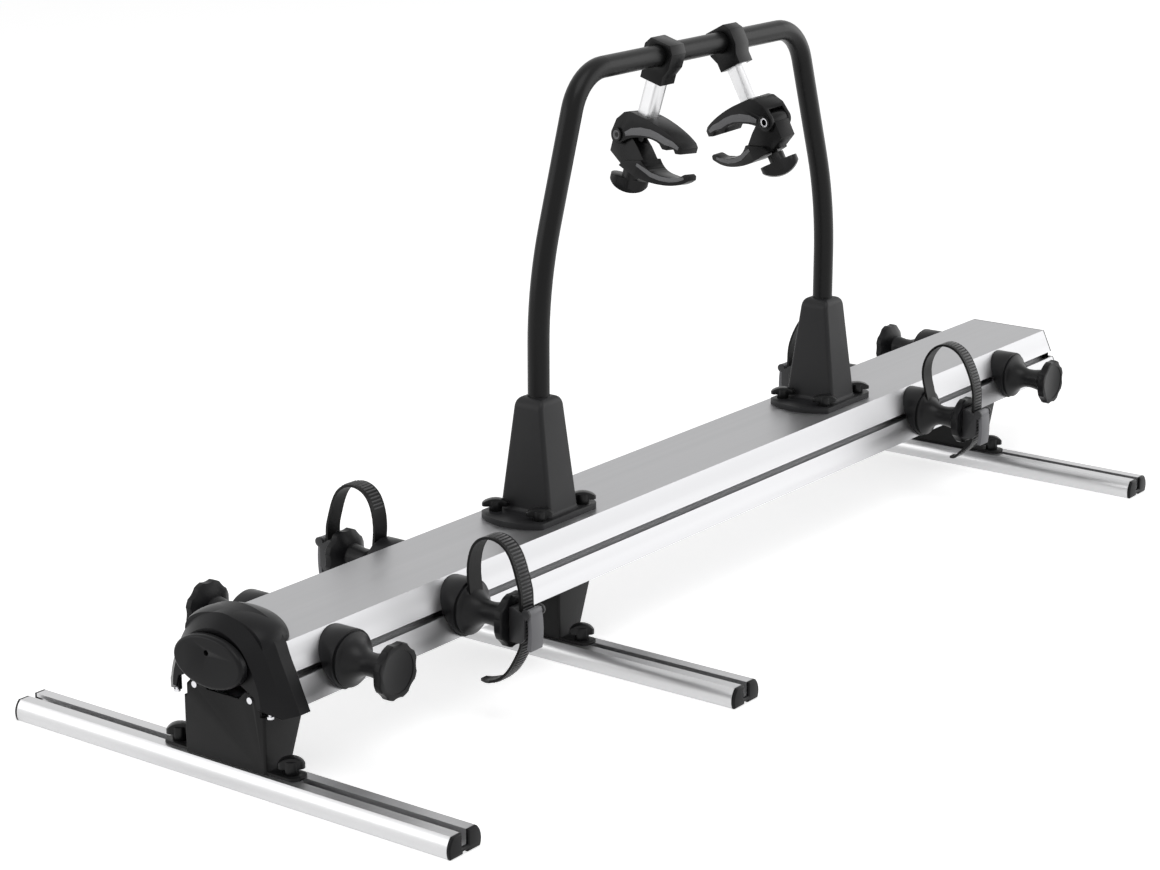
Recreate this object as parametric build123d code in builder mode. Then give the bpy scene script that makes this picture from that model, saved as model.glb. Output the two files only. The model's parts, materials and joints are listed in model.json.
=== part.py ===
from build123d import *
import os
from math import cos, radians, sin, sqrt

os.makedirs("parts", exist_ok=True)

# A two-bike carrier that slides out of a vehicle. X runs along the beam, +X to its far end,
# Z is up from the floor, and the middle plane is Y = 0. The beam slides towards -X.

# Lengths and heights that the rest hangs on
beam_length = 1608.0
handle_reach = 38.0
end_cap_thickness = 2.5
rail_lead = 2.0
middle_span = 484.0
rear_rail_setback = 178.0
rail_height = 22.5
foot_height = 61.0
beam_lift = 11.5
beam_height = 60.0
running_gap = 0.05
soft_gap = 0.3
overrun = 5.0

carrier_length = handle_reach + beam_length + end_cap_thickness
beam_near = handle_reach - carrier_length / 2
beam_far = beam_near + beam_length
front_x = beam_near - rail_lead
rail_places = {"front": front_x, "middle": front_x + middle_span, "rear": beam_far - rear_rail_setback}
foot_top = rail_height + foot_height
beam_bottom = foot_top + beam_lift
beam_top = beam_bottom + beam_height

# Floor rails
rail_length = 600.0
rail_width = 49.0
rail_top_width = 36.5
rail_base_width = 45.0
rail_bulge_height = 9.0
slot_width = 10.0
slot_lip = 4.0
slot_cavity_width = 18.0
slot_floor = 7.0
groove_width = 7.0
groove_depth = 2.5
rail_wall = 2.5
chamber_width = 7.5
chamber_height = 13.5
chamber_base = 4.0
chamber_round = 2.0
rail_cap_thickness = 4.0
rail_cap_round = 1.2
floor_hole_radius = 3.25
floor_hole_spacing = 520.0

# Feet of bent sheet
foot_width = 111.0
foot_lead = 14.4
foot_top_length = 59.4
foot_base_length = 36.4
sheet = 3.0
bend_radius = 3.0
flange_reach = 92.0
flange_width = 24.0
foot_bolt_y = 77.0
bracket_width = 100.0
bracket_height = 22.0
bracket_corner = 8.0
bracket_dip = 9.0
bracket_dip_half = 22.0

# T-bolts of the feet
bolt_radius = 3.0
t_head_width = 16.5
t_head_height = 5.0
bolt_rise = 12.0

# Wing knobs
foot_knob_span = 28.0
foot_knob_width = 11.0
foot_knob_height = 18.0
foot_knob_hub = 8.0
pedestal_knob_span = 31.0
pedestal_knob_width = 9.5
pedestal_knob_height = 14.0
pedestal_knob_hub = 7.5
knob_neck_share = 0.36
knob_hub_share = 0.8
knob_turn = -52.0
knob_shoulder_share = 0.62

# Inner rail
inner_lead = 6.0
inner_tail = 12.0
inner_height = 57.0
inner_base_width = 76.0
inner_top_width = 72.0
inner_web_width = 12.0
inner_wall = 3.0
inner_base_height = 23.5
inner_top_thickness = 3.5
rail_screw_radius = 2.5
rail_screw_head_radius = 5.0
rail_screw_head_height = 3.5
rail_screw_y = 24.0
rail_screw_setback = 30.0
bracket_screw_y = 38.0
bracket_screw_head = 2.0
bracket_screw_drop = 6.5

# Beam section
beam_top_width = 112.6
beam_base_width = 167.6
beam_wall = 2.5
lip_inner_half = 74.0
side_slot_height = 7.0
side_slot_drop = 28.6
pocket_inner_half = 54.5
pocket_height = 21.0
cap_notch_depth = 4.5

# Rollers
front_roller_radius = 13.0
front_roller_start = 54.0
front_roller_width = 16.0
front_roller_lead = 30.0
front_journal_radius = 4.0
front_shoulder_radius = 6.0
front_head_radius = 6.5
front_head_width = 3.0
rear_roller_width = 20.0
rear_roller_start = 12.0
rear_roller_setback = 24.0
rear_journal_radius = 5.0
rear_flange_radius = 9.0
rear_flange_width = 6.5
rear_head_radius = 7.0
rear_head_width = 2.5

# Housing on the near end of the beam. Its front arches are shares of half width and height, and its
# skirt follows the beam's sides up to a shoulder, with a crown in shares from there
front_arch_shares = [(1.0, 0.0), (0.947, 0.28), (0.816, 0.53), (0.592, 0.80), (0.263, 0.958)]
skirt_side_shares = (0.0, 0.35, 0.7, 1.0)
rear_crown_shares = [(0.945, 0.234), (0.715, 0.645), (0.318, 0.934)]
face_lead = 26.0
ridge_lead = 13.0
skirt_length = 15.0
face_half = 60.0
ridge_half = 76.0
skirt_wall = 3.0
skirt_shoulder_drop = 8.0
face_low = 96.0
skirt_low = 89.5
ridge_low = 86.0
face_top = 169.0
ridge_top = 182.0
skirt_top = 185.0
housing_wall = 3.0
dome_centre = 6.0
dome_length = 46.0
dome_half = 58.0
dome_height = 28.5
door_base_half = 60.0
door_mid_half = 52.0
door_top_half = 31.0
door_mid_height = 108.0
door_top_height = 118.0
hinge_window_half = 21.0
hinge_window_low = 143.0
hinge_window_high = 156.5
rib_start = 22.0
rib_width = 6.0
leg_screw_y = 64.0
leg_screw_setback = 16.0
leg_screw_radius = 2.0
leg_screw_length = 10.0
leg_screw_head_radius = 3.5
leg_screw_head_height = 2.5
leg_boss_radius = 5.0
leg_boss_low = 88.0
leg_boss_high = 104.0

# Release handle and latch
handle_centre = 136.5
handle_width = 94.0
handle_height = 56.0
handle_depth = 9.0
handle_round = 4.0
key_hole_radius = 3.0
key_hole_rise = 10.5
key_hole_depth = 5.0
pivot_setback = 16.0
pivot_height = 158.0
pivot_pin_radius = 3.0
pivot_pin_half = 30.0
pivot_hub_radius = 6.5
lug_start = 14.0
lug_width = 6.0
lug_root = 1.5
lug_high_drop = 7.0
lug_low_drop = 13.0
lug_hub_drop = 5.5
lug_hub_lead = 3.0
hook_half = 12.5
hook_plate = 4.0
strike_pin_radius = 4.0
strike_pin_half = 15.0
strike_reach = 39.6
strike_angle = 45.0
hook_clearance = 1.0
hook_tooth = 7.0
hook_top_angle = 40.0
hook_arm_angle = 58.0
hook_low_angle = 66.0
hook_arm_half = 5.0

# Hoop
hoop_offset = -1.0
hoop_half = 299.0
tube_radius = 12.5
tube_wall = 2.0
hoop_top = 648.0
hoop_foot_height = 200.0
hoop_bow_height = 418.0
hoop_shoulder_half = 223.0
hoop_bow_radius = 420.0
hoop_corner_radius = 60.0

# Pedestals
plate_length = 101.0
plate_width = 88.0
plate_thickness = 7.0
plate_bow = 18.0
plate_corner = 8.0
tower_base_length = 54.0
tower_base_width = 72.0
tower_top_length = 43.0
tower_top_width = 37.0
tower_top = 293.0
tower_end_round = 13.0
tower_side_round = 9.0
tower_corner_round = 5.0
tower_root_round = 5.0
pedestal_bolt_x = 40.0
pedestal_bolt_y = 31.5
bolt_head_radius = 6.0
bolt_head_height = 3.0
pedestal_bolt_rise = 9.0

# Wheel spools, two near each end of the beam on each side, measured from that end
right_near_reach = (84.0, 276.0)
right_far_reach = (375.0, 138.0)
left_near_reach = (110.0, 330.0)
left_far_reach = (325.0, 93.0)
strapped = [False, True, True, False]
collar_radius = 31.5
collar_face = 84.5
cone_radius = 29.0
cone_rim = 3.0
waist_radius = 12.5
waist_start = 107.0
waist_end = 115.0
cone_end = 129.0
cone_end_radius = 15.0
spool_knob_radius = 30.0
spool_knob_depth = 17.0
spool_knob_flare = 9.0
scallop_radius = 22.0
scallop_depth = 2.0
scallop_count = 8
scallop_corner = 1.5
knob_chamfer = 1.2
knob_face_radius = 23.0
knob_face_depth = 0.8
spool_head_width = 13.0
spool_head_depth = 5.0
spool_face_skin = 4.0

# Ratchet straps and buckles
strap_width = 21.0
strap_thickness = 3.0
strap_root_reach = 90.5
strap_root_height = 137.0
strap_span = 68.0
strap_tail_taper = 16.0
strap_tip_width = 7.0
low_loop_shares = [(0.0, 0.0), (-0.029, 0.309), (-0.007, 0.662), (0.154, 0.971), (0.419, 1.066), (0.684, 0.971),
                   (0.86, 0.706), (0.963, 0.382), (1.0, 0.044)]
low_tail_shares = [(1.0, -0.5), (0.949, -0.68), (0.801, -0.95), (0.551, -1.21), (0.257, -1.32), (0.14, -1.325)]
high_loop_shares = [(0.0, 0.0), (-0.05, 0.265), (-0.12, 0.62), (-0.007, 1.0), (0.287, 1.221), (0.596, 1.147),
                    (0.831, 0.853), (0.978, 0.456), (1.0, 0.044)]
high_tail_shares = [(1.0, -0.5), (0.904, -0.69), (0.728, -0.86), (0.493, -0.985)]
buckle_width = 28.0
buckle_top = 141.0
buckle_low = 103.0
buckle_outer = 166.0
buckle_slant_start = 6.7
buckle_slant_drop = 8.0
buckle_slack = 0.3
buckle_corner = 5.0
lever_pin_reach = 167.5
lever_pin_height = 136.0
lever_pin_radius = 2.0
lever_hub_radius = 4.5
ear_radius = 5.5
lever_width = 20.6
lever_thickness = 5.0
lever_top = (168.0, 140.0)
lever_middle = (170.5, 120.0)
lever_low = (169.0, 95.0)

# Arms: place from the hoop's middle, lean from upright, and turn of the claw about its tube
arm_places = {"front": (-60.0, 16.6, -101.0), "rear": (69.0, -28.5, 79.0)}
arm_drop = 75.4
neck_drop = 32.4
clamp_length = 28.0
clamp_rise = 17.0
clamp_half = 20.0
clamp_cap_half = 14.0
clamp_shoulder_rise = 8.0
clamp_shoulder_drop = 10.0
clamp_neck_half = 15.0
clamp_waist_drop = 21.0
clamp_edge_round = 1.5
stub_width = 25.0
stub_depth = 20.0
stub_round = 8.0
stub_seat = 6.0
spigot_radius = 8.0
spigot_length = 12.0

# Claw and jaw outlines: u runs forward to the tips, a runs up along the tube, and
# each is a share of the reach from the tube to the tips
claw_reach = 89.5
claw_half = 17.0
channel_half = 11.9
jaw_half = 11.6
pivot_shares = (-0.267, -0.389)
boss_share = 0.122
jaw_boss_share = 0.116
claw_top_shares = [(-0.389, -0.389), (-0.356, -0.2), (-0.25, -0.06), (-0.16, -0.01)]
claw_back_shares = [(0.16, 0.01), (0.35, 0.01), (0.5, 0.0), (0.65, -0.02), (0.81, -0.06)]
claw_teeth_shares = [(0.86, -0.1), (0.86, -0.18), (0.77, -0.21), (0.72, -0.165), (0.63, -0.165), (0.62, -0.225),
                     (0.54, -0.245), (0.47, -0.2)]
claw_under_shares = [(0.42, -0.195), (0.3, -0.205), (0.15, -0.25), (-0.02, -0.33), (-0.14, -0.43)]
channel_shares = [(-0.5, -0.67), (-0.5, -0.27), (-0.34, -0.25), (-0.26, -0.13), (0.2, -0.115), (0.4, -0.085),
                  (0.46, -0.12), (0.46, -0.67)]
claw_taper_share = 0.1
claw_tip_half = 12.5
jaw_taper_share = 0.2
jaw_tip_half = 6.0
jaw_rear_shares = [(-0.383, -0.44), (-0.378, -0.667), (-0.12, -0.755), (0.2, -0.775), (0.33, -0.62), (0.244, -0.533),
                   (0.089, -0.422), (-0.133, -0.3)]
jaw_outer_shares = [(1.04, -0.47), (0.95, -0.56), (0.8, -0.65), (0.6, -0.72), (0.32, -0.77), (0.1, -0.77),
                    (-0.11, -0.755)]
jaw_inner_shares = [(0.244, -0.533), (0.444, -0.605), (0.69, -0.572), (0.89, -0.489), (0.97, -0.415), (1.03, -0.425)]
jaw_step_share = (-0.05, -0.66)
jaw_pin_radius = 3.0
pin_cap_radius = 8.0
pin_cap_width = 2.5
screw_share = -0.033
screw_radius = 4.0
screw_top_share = -0.24
jaw_knob_share = -0.8
jaw_hub_share = -0.79
jaw_knob_span = 46.0
jaw_knob_width = 19.0
jaw_knob_height = 27.0
jaw_knob_hub = 10.0
jaw_knob_turn = -45.0


def write(piece, name):
    """Label a finished piece and write it under its name."""
    piece.part.label = name
    export_step(piece.part, "parts/" + name + ".step")


def beam_half(z):
    """Half width of the beam's outside at height z."""
    share = (beam_top - z) / beam_height
    return (beam_top_width + share * (beam_base_width - beam_top_width)) / 2


side_lean = (beam_base_width - beam_top_width) / 2 / beam_height
side_wall = beam_wall * sqrt(1 + side_lean ** 2)


# Floor rails


mouth_points = [(slot_width / 2, rail_height), (slot_width / 2, rail_height - slot_lip)]
cavity_points = [(slot_cavity_width / 2, rail_height - slot_lip), (slot_cavity_width / 2, slot_floor), (0, slot_floor)]
notch_points = [(slot_width / 2, slot_floor), (0, slot_floor)]


def rail_outline(slot_points):
    """Closed outline of a rail's section around the given slot."""
    with BuildLine() as outline:
        Line((0, groove_depth), (groove_width / 2, groove_depth))
        Line((groove_width / 2, groove_depth), (groove_width / 2, 0))
        Line((groove_width / 2, 0), (rail_base_width / 2, 0))
        ThreePointArc((rail_base_width / 2, 0), (rail_width / 2, rail_bulge_height), (rail_top_width / 2, rail_height))
        Line((rail_top_width / 2, rail_height), (slot_width / 2, rail_height))
        Polyline(*slot_points)
        mirror(about=Plane.YZ)
    return outline.line


def floor_rail(x):
    """A rail across the floor, with its slot on top and holes for the floor screws."""
    bar_length = rail_length - 2 * rail_cap_thickness
    chamber_x = slot_cavity_width / 2 + rail_wall + chamber_width / 2
    with BuildPart() as rail:
        with BuildSketch(Plane.XZ):
            add(rail_outline(mouth_points + cavity_points))
            make_face()
            with Locations((chamber_x, chamber_base + chamber_height / 2), (-chamber_x, chamber_base + chamber_height / 2)):
                RectangleRounded(chamber_width, chamber_height, chamber_round, mode=Mode.SUBTRACT)
        extrude(amount=bar_length / 2, both=True)
        with BuildSketch(Plane.XY):
            with Locations((0, floor_hole_spacing / 2), (0, -floor_hole_spacing / 2)):
                Circle(floor_hole_radius)
        extrude(amount=slot_floor, mode=Mode.SUBTRACT)
    return rail.part.moved(Location((x, 0, 0)))


def rail_cap():
    """An end cap for a rail, as a plate with the rail's outline, at Y = 0 and outwards along -Y."""
    with BuildPart() as cap:
        with BuildSketch(Plane.XZ):
            add(rail_outline(mouth_points[:1] + notch_points))
            make_face()
        extrude(amount=rail_cap_thickness)
        chamfer(cap.faces().sort_by(Axis.Y)[0].edges(), rail_cap_round)
    return cap.part


for place, x in rail_places.items():
    rail_part = floor_rail(x)
    with BuildPart() as rail_piece:
        add(rail_part)
    write(rail_piece, place + "_floor_rail")

cap_part = rail_cap()
cap_y = rail_length / 2 - rail_cap_thickness
with BuildPart() as rail_end_caps:
    for x in rail_places.values():
        with Locations(Location((x, -cap_y, 0)), Location((x, cap_y, 0), (0, 0, 180))):
            add(cap_part)
write(rail_end_caps, "rail_end_caps")


# Feet
bracket_top = foot_top + bracket_height
bracket_screw_z = bracket_top - bracket_screw_drop


def foot(x, bracket):
    """A bent steel foot on a rail: front plate, two cheeks, a top plate and two slotted flanges."""
    front = x - foot_lead
    half = foot_width / 2
    with BuildPart() as piece:
        with BuildSketch(Plane.XZ.offset(half - sheet)):
            with BuildLine():
                Polyline(
                    (front, rail_height),
                    (front + foot_base_length, rail_height),
                    (front + foot_top_length, foot_top),
                    (front, foot_top),
                    close=True,
                )
            make_face()
        extrude(amount=sheet)
        mirror(about=Plane.XZ)
        with BuildSketch(Plane.YZ.offset(front)):
            with Locations((0, rail_height + foot_height / 2)):
                Rectangle(foot_width, foot_height)
        extrude(amount=sheet)
        with BuildSketch(Plane.XY.offset(foot_top - sheet)):
            with Locations((front + foot_top_length / 2, 0)):
                Rectangle(foot_top_length, foot_width)
        extrude(amount=sheet)
        fillet(piece.edges().filter_by(Axis.Z).group_by(Axis.X)[0], bend_radius)
        with BuildSketch(Plane.XY.offset(rail_height)):
            with Locations((x, 0)):
                RectangleRounded(flange_width, 2 * flange_reach, flange_width / 2 - sheet)
                Rectangle(flange_width, foot_width - 2 * sheet, mode=Mode.SUBTRACT)
        extrude(amount=sheet)
        if bracket:
            with BuildSketch(Plane.YZ.offset(front)):
                with BuildLine():
                    Polyline(
                        (0, foot_top - sheet),
                        (bracket_width / 2, foot_top - sheet),
                        (bracket_width / 2, bracket_top - bracket_corner),
                        (bracket_width / 2 - bracket_corner, bracket_top),
                        (bracket_dip_half + bracket_corner, bracket_top),
                        (bracket_dip_half, bracket_top - bracket_dip),
                        (0, bracket_top - bracket_dip),
                        close=True,
                    )
                make_face()
                mirror(about=Plane.YZ)
            extrude(amount=sheet)
            with BuildSketch(Plane.YZ.offset(front)):
                with Locations((-bracket_screw_y, bracket_screw_z), (bracket_screw_y, bracket_screw_z)):
                    Circle(rail_screw_radius)
            extrude(amount=sheet, mode=Mode.SUBTRACT)
        with BuildSketch(Plane.XY.offset(rail_height)):
            with Locations((x, foot_bolt_y), (x, -foot_bolt_y)):
                Circle(bolt_radius + running_gap)
        extrude(amount=sheet, mode=Mode.SUBTRACT)
        with BuildSketch(Plane.XY.offset(foot_top - sheet)):
            with Locations((front + rail_screw_setback, rail_screw_y), (front + rail_screw_setback, -rail_screw_y)):
                Circle(rail_screw_radius + running_gap)
        extrude(amount=sheet, mode=Mode.SUBTRACT)
    return piece


for place, x in rail_places.items():
    foot_piece = foot(x, place == "front")
    write(foot_piece, place + "_foot")

# T-bolts: a square head under the rail's lips and a shank up into the knob
flange_top = rail_height + sheet
t_head_top = rail_height - slot_lip
with BuildPart() as foot_t_bolts:
    for x in rail_places.values():
        with BuildSketch(Plane.XY.offset(t_head_top - t_head_height)):
            with Locations((x, foot_bolt_y), (x, -foot_bolt_y)):
                Rectangle(t_head_width, t_head_width)
        extrude(amount=t_head_height)
        with BuildSketch(Plane.XY.offset(t_head_top)):
            with Locations((x, foot_bolt_y), (x, -foot_bolt_y)):
                Circle(bolt_radius)
        extrude(amount=flange_top + bolt_rise - t_head_top)
write(foot_t_bolts, "foot_t_bolts")


def wing_knob(span, width, height, hub_radius, bore_depth):
    """A two-winged knob with an arched top that stands on Z = 0, bored from below where it takes a bolt."""
    neck = height * knob_neck_share
    shoulder = height * knob_shoulder_share
    with BuildPart() as knob:
        with BuildSketch(Plane.XY.offset(neck)):
            SlotOverall(span, width)
        extrude(amount=height - neck)
        with BuildSketch(Plane.XZ):
            with BuildLine():
                ThreePointArc((-span / 2, shoulder), (0, height), (span / 2, shoulder))
                Polyline((span / 2, shoulder), (span / 2, 0), (-span / 2, 0), (-span / 2, shoulder))
            make_face()
        extrude(amount=width, both=True, mode=Mode.INTERSECT)
        with BuildSketch(Plane.XY):
            Circle(hub_radius)
        extrude(amount=height * knob_hub_share)
        if bore_depth > 0:
            with BuildSketch(Plane.XY):
                Circle(bolt_radius + running_gap)
            extrude(amount=bore_depth, mode=Mode.SUBTRACT)
    return knob.part


foot_knob_part = wing_knob(foot_knob_span, foot_knob_width, foot_knob_height, foot_knob_hub, bolt_rise + soft_gap)
for place, x in rail_places.items():
    for side_name, side in (("right", -1), ("left", 1)):
        with BuildPart() as foot_knob:
            with Locations(Location((x, side * foot_bolt_y, flange_top), (0, 0, knob_turn))):
                add(foot_knob_part)
        write(foot_knob, place + "_foot_knob_" + side_name)


# Inner rail, which stays on the feet while the beam slides over it
inner_near = front_x + rail_lead + inner_lead
inner_length = beam_far - inner_tail - inner_near
inner_base_top = foot_top + inner_base_height
inner_top = foot_top + inner_height
channel_top = inner_top - inner_top_thickness
front_roller_x = front_x + front_roller_lead
slot_middle = beam_top - side_slot_drop - side_slot_height / 2
pocket_low = slot_middle - pocket_height / 2
front_roller_z = pocket_low - soft_gap - front_roller_radius
pivot_x = beam_near - pivot_setback
strike_x = pivot_x + strike_reach * cos(radians(strike_angle))
strike_z = pivot_height - strike_reach * sin(radians(strike_angle))
with BuildPart() as inner_rail:
    with BuildSketch(Plane.YZ.offset(inner_near)):
        with Locations((0, foot_top + inner_base_height / 2)):
            Rectangle(inner_base_width, inner_base_height)
            Rectangle(inner_base_width - 2 * inner_wall, inner_base_height - 2 * inner_wall, mode=Mode.SUBTRACT)
        with Locations((0, (inner_base_top + channel_top) / 2)):
            Rectangle(inner_web_width, channel_top - inner_base_top)
            Rectangle(inner_web_width - 2 * inner_wall, channel_top - inner_base_top, mode=Mode.SUBTRACT)
        with Locations((0, inner_top - inner_top_thickness / 2)):
            Rectangle(inner_top_width, inner_top_thickness)
    extrude(amount=inner_length)
    with BuildSketch(Plane.XZ):
        with Locations((front_roller_x, front_roller_z)):
            Circle(front_journal_radius + running_gap)
        with Locations((strike_x, strike_z)):
            Circle(strike_pin_radius)
    extrude(amount=inner_base_width, both=True, mode=Mode.SUBTRACT)
    with BuildSketch(Plane.XY.offset(foot_top)):
        for x in rail_places.values():
            with Locations((x - foot_lead + rail_screw_setback, rail_screw_y),
                           (x - foot_lead + rail_screw_setback, -rail_screw_y)):
                Circle(rail_screw_radius)
    extrude(amount=inner_wall, mode=Mode.SUBTRACT)
write(inner_rail, "inner_rail")

# Screws from under each foot, the pin that the latch holds, and two screws in the front bracket
with BuildPart() as inner_rail_fasteners:
    with BuildSketch(Plane.XY.offset(foot_top - sheet - rail_screw_head_height)):
        for x in rail_places.values():
            with Locations((x - foot_lead + rail_screw_setback, rail_screw_y),
                           (x - foot_lead + rail_screw_setback, -rail_screw_y)):
                Circle(rail_screw_head_radius)
    extrude(amount=rail_screw_head_height)
    with BuildSketch(Plane.XY.offset(foot_top - sheet)):
        for x in rail_places.values():
            with Locations((x - foot_lead + rail_screw_setback, rail_screw_y),
                           (x - foot_lead + rail_screw_setback, -rail_screw_y)):
                Circle(rail_screw_radius)
    extrude(amount=sheet + inner_wall)
    with BuildSketch(Plane.XZ):
        with Locations((strike_x, strike_z)):
            Circle(strike_pin_radius)
    extrude(amount=strike_pin_half, both=True)
    for side in (-1, 1):
        with BuildSketch(Plane.YZ.offset(front_x - foot_lead)):
            with Locations((side * bracket_screw_y, bracket_screw_z)):
                Circle(rail_screw_radius)
        extrude(amount=sheet)
        with BuildSketch(Plane.YZ.offset(front_x - foot_lead - bracket_screw_head)):
            with Locations((side * bracket_screw_y, bracket_screw_z)):
                Circle(rail_screw_radius + bracket_screw_head / 2)
        extrude(amount=bracket_screw_head)
write(inner_rail_fasteners, "inner_rail_fasteners")

# Front axle through the inner rail, with a shoulder and a head for each roller
front_roller_end = front_roller_start + front_roller_width
front_axle_plane = Plane(origin=(front_roller_x, 0, front_roller_z), x_dir=(1, 0, 0), z_dir=(0, 1, 0))
with BuildPart() as front_roller_axle:
    with BuildSketch(front_axle_plane):
        Circle(front_journal_radius)
    extrude(amount=front_roller_end + soft_gap, both=True)
    with BuildSketch(front_axle_plane.offset(inner_base_width / 2)):
        Circle(front_shoulder_radius)
    extrude(amount=front_roller_start - soft_gap - inner_base_width / 2)
    with BuildSketch(front_axle_plane.offset(front_roller_end + soft_gap)):
        Circle(front_head_radius)
    extrude(amount=front_head_width)
    mirror(about=Plane.XZ)
write(front_roller_axle, "front_roller_axle")

with BuildPart() as front_rollers:
    with BuildSketch(front_axle_plane.offset(front_roller_start)):
        Circle(front_roller_radius)
        Circle(front_journal_radius + running_gap, mode=Mode.SUBTRACT)
    extrude(amount=front_roller_width)
    chamfer(front_rollers.edges().filter_by(GeomType.CIRCLE).group_by(SortBy.RADIUS)[-1], sheet / 3)
    mirror(about=Plane.XZ)
write(front_rollers, "front_rollers")


# Beam: a wide channel, open below, with a T-slot in each sloping side
mouth_low = slot_middle - side_slot_height / 2
mouth_high = slot_middle + side_slot_height / 2
pocket_high = pocket_low + pocket_height
hoop_x = beam_near + beam_length / 2 + hoop_offset
pedestal_places = [hoop_x - hoop_half, hoop_x + hoop_half]
pedestal_bolt_spots = [
    (x + sx * pedestal_bolt_x, sy * pedestal_bolt_y) for x in pedestal_places for sx in (-1, 1) for sy in (-1, 1)
]
with BuildPart() as beam:
    with BuildSketch(Plane.YZ.offset(beam_near)):
        with BuildLine():
            Polyline(
                (0, beam_top),
                (beam_top_width / 2, beam_top),
                (beam_base_width / 2, beam_bottom),
                (lip_inner_half, beam_bottom),
                (lip_inner_half, beam_bottom + beam_wall),
                (beam_half(beam_bottom + beam_wall) - side_wall, beam_bottom + beam_wall),
                (beam_half(beam_top - beam_wall) - side_wall, beam_top - beam_wall),
                (0, beam_top - beam_wall),
                close=True,
            )
        make_face()
        with BuildLine():
            Polyline(
                (pocket_inner_half, pocket_low),
                (pocket_inner_half, pocket_high),
                (beam_half(pocket_high) - side_wall / 2, pocket_high),
                (beam_half(pocket_low) - side_wall / 2, pocket_low),
                close=True,
            )
        make_face()
        with BuildLine():
            Polyline(
                (pocket_inner_half + beam_wall, pocket_low + beam_wall),
                (pocket_inner_half + beam_wall, pocket_high - beam_wall),
                (beam_half(pocket_high - beam_wall) - side_wall, pocket_high - beam_wall),
                (beam_half(mouth_high) - side_wall, mouth_high),
                (beam_half(mouth_high) + overrun, mouth_high),
                (beam_half(mouth_low) + overrun, mouth_low),
                (beam_half(mouth_low) - side_wall, mouth_low),
                (beam_half(pocket_low + beam_wall) - side_wall, pocket_low + beam_wall),
                close=True,
            )
        make_face(mode=Mode.SUBTRACT)
        mirror(about=Plane.YZ)
    extrude(amount=beam_length)
    with BuildSketch(Plane.XY.offset(beam_top - beam_wall)):
        with Locations(*pedestal_bolt_spots):
            Circle(bolt_radius)
    extrude(amount=beam_wall, mode=Mode.SUBTRACT)
write(beam, "beam")

# Far end cap: the beam's outline, notched at the slots, with a window for the inner rail
with BuildPart() as far_end_cap:
    with BuildSketch(Plane.YZ.offset(beam_far)):
        with BuildLine():
            Polyline(
                (0, beam_top),
                (beam_top_width / 2, beam_top),
                (beam_half(mouth_high), mouth_high),
                (beam_half(mouth_high) - cap_notch_depth, mouth_high),
                (beam_half(mouth_high) - cap_notch_depth, mouth_low),
                (beam_half(mouth_low), mouth_low),
                (beam_base_width / 2, beam_bottom),
                (inner_base_width / 2 + sheet, beam_bottom),
                (inner_base_width / 2 + sheet, inner_top + sheet),
                (0, inner_top + sheet),
                close=True,
            )
        make_face()
        mirror(about=Plane.YZ)
    extrude(amount=end_cap_thickness)
write(far_end_cap, "far_end_cap")

# Rear rollers: each on a stub axle that is bolted to the slot's inner wall near the far end
rear_roller_x = beam_far - rear_roller_setback
rear_roller_radius = (channel_top - inner_base_top) / 2 - soft_gap
rear_roller_z = (channel_top + inner_base_top) / 2
rear_roller_end = rear_roller_start + rear_roller_width
rear_axle_plane = Plane(origin=(rear_roller_x, 0, rear_roller_z), x_dir=(1, 0, 0), z_dir=(0, 1, 0))
with BuildPart() as rear_axles:
    with BuildSketch(rear_axle_plane.offset(rear_roller_start - soft_gap - rear_head_width)):
        Circle(rear_head_radius)
    extrude(amount=rear_head_width)
    with BuildSketch(rear_axle_plane.offset(rear_roller_start - soft_gap)):
        Circle(rear_journal_radius)
    extrude(amount=pocket_inner_half - rear_roller_start + soft_gap)
    with BuildSketch(rear_axle_plane.offset(pocket_inner_half - rear_flange_width)):
        Circle(rear_flange_radius)
    extrude(amount=rear_flange_width)
    mirror(about=Plane.XZ)
write(rear_axles, "rear_axles")

with BuildPart() as rear_rollers:
    with BuildSketch(rear_axle_plane.offset(rear_roller_start)):
        Circle(rear_roller_radius)
        Circle(rear_journal_radius + running_gap, mode=Mode.SUBTRACT)
    extrude(amount=rear_roller_width)
    chamfer(rear_rollers.edges().filter_by(GeomType.CIRCLE).group_by(SortBy.RADIUS)[-1], sheet / 3)
    mirror(about=Plane.XZ)
write(rear_rollers, "rear_rollers")


# Housing over the near end: arched sections joined by straight loft faces, and a dome that runs
# back over the beam's top


def arch_points(half, low, high):
    """Points of a front arch from its right foot over the crown to its left foot."""
    right = [(half * w, low + (high - low) * h) for w, h in front_arch_shares]
    return right + [(0, high)] + [(-y, z) for y, z in reversed(right)]


def skirt_points(high):
    """Points of an arch that follows the beam's sloping sides and is rounded over its top."""
    shoulder = beam_top - skirt_shoulder_drop
    heights = [skirt_low + (shoulder - skirt_low) * share for share in skirt_side_shares]
    right = [(beam_half(z) + skirt_wall, z) for z in heights]
    shoulder_half = beam_half(shoulder) + skirt_wall
    right += [(shoulder_half * w, shoulder + (high - shoulder) * h) for w, h in rear_crown_shares]
    return right + [(0, high)] + [(-y, z) for y, z in reversed(right)]


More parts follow.
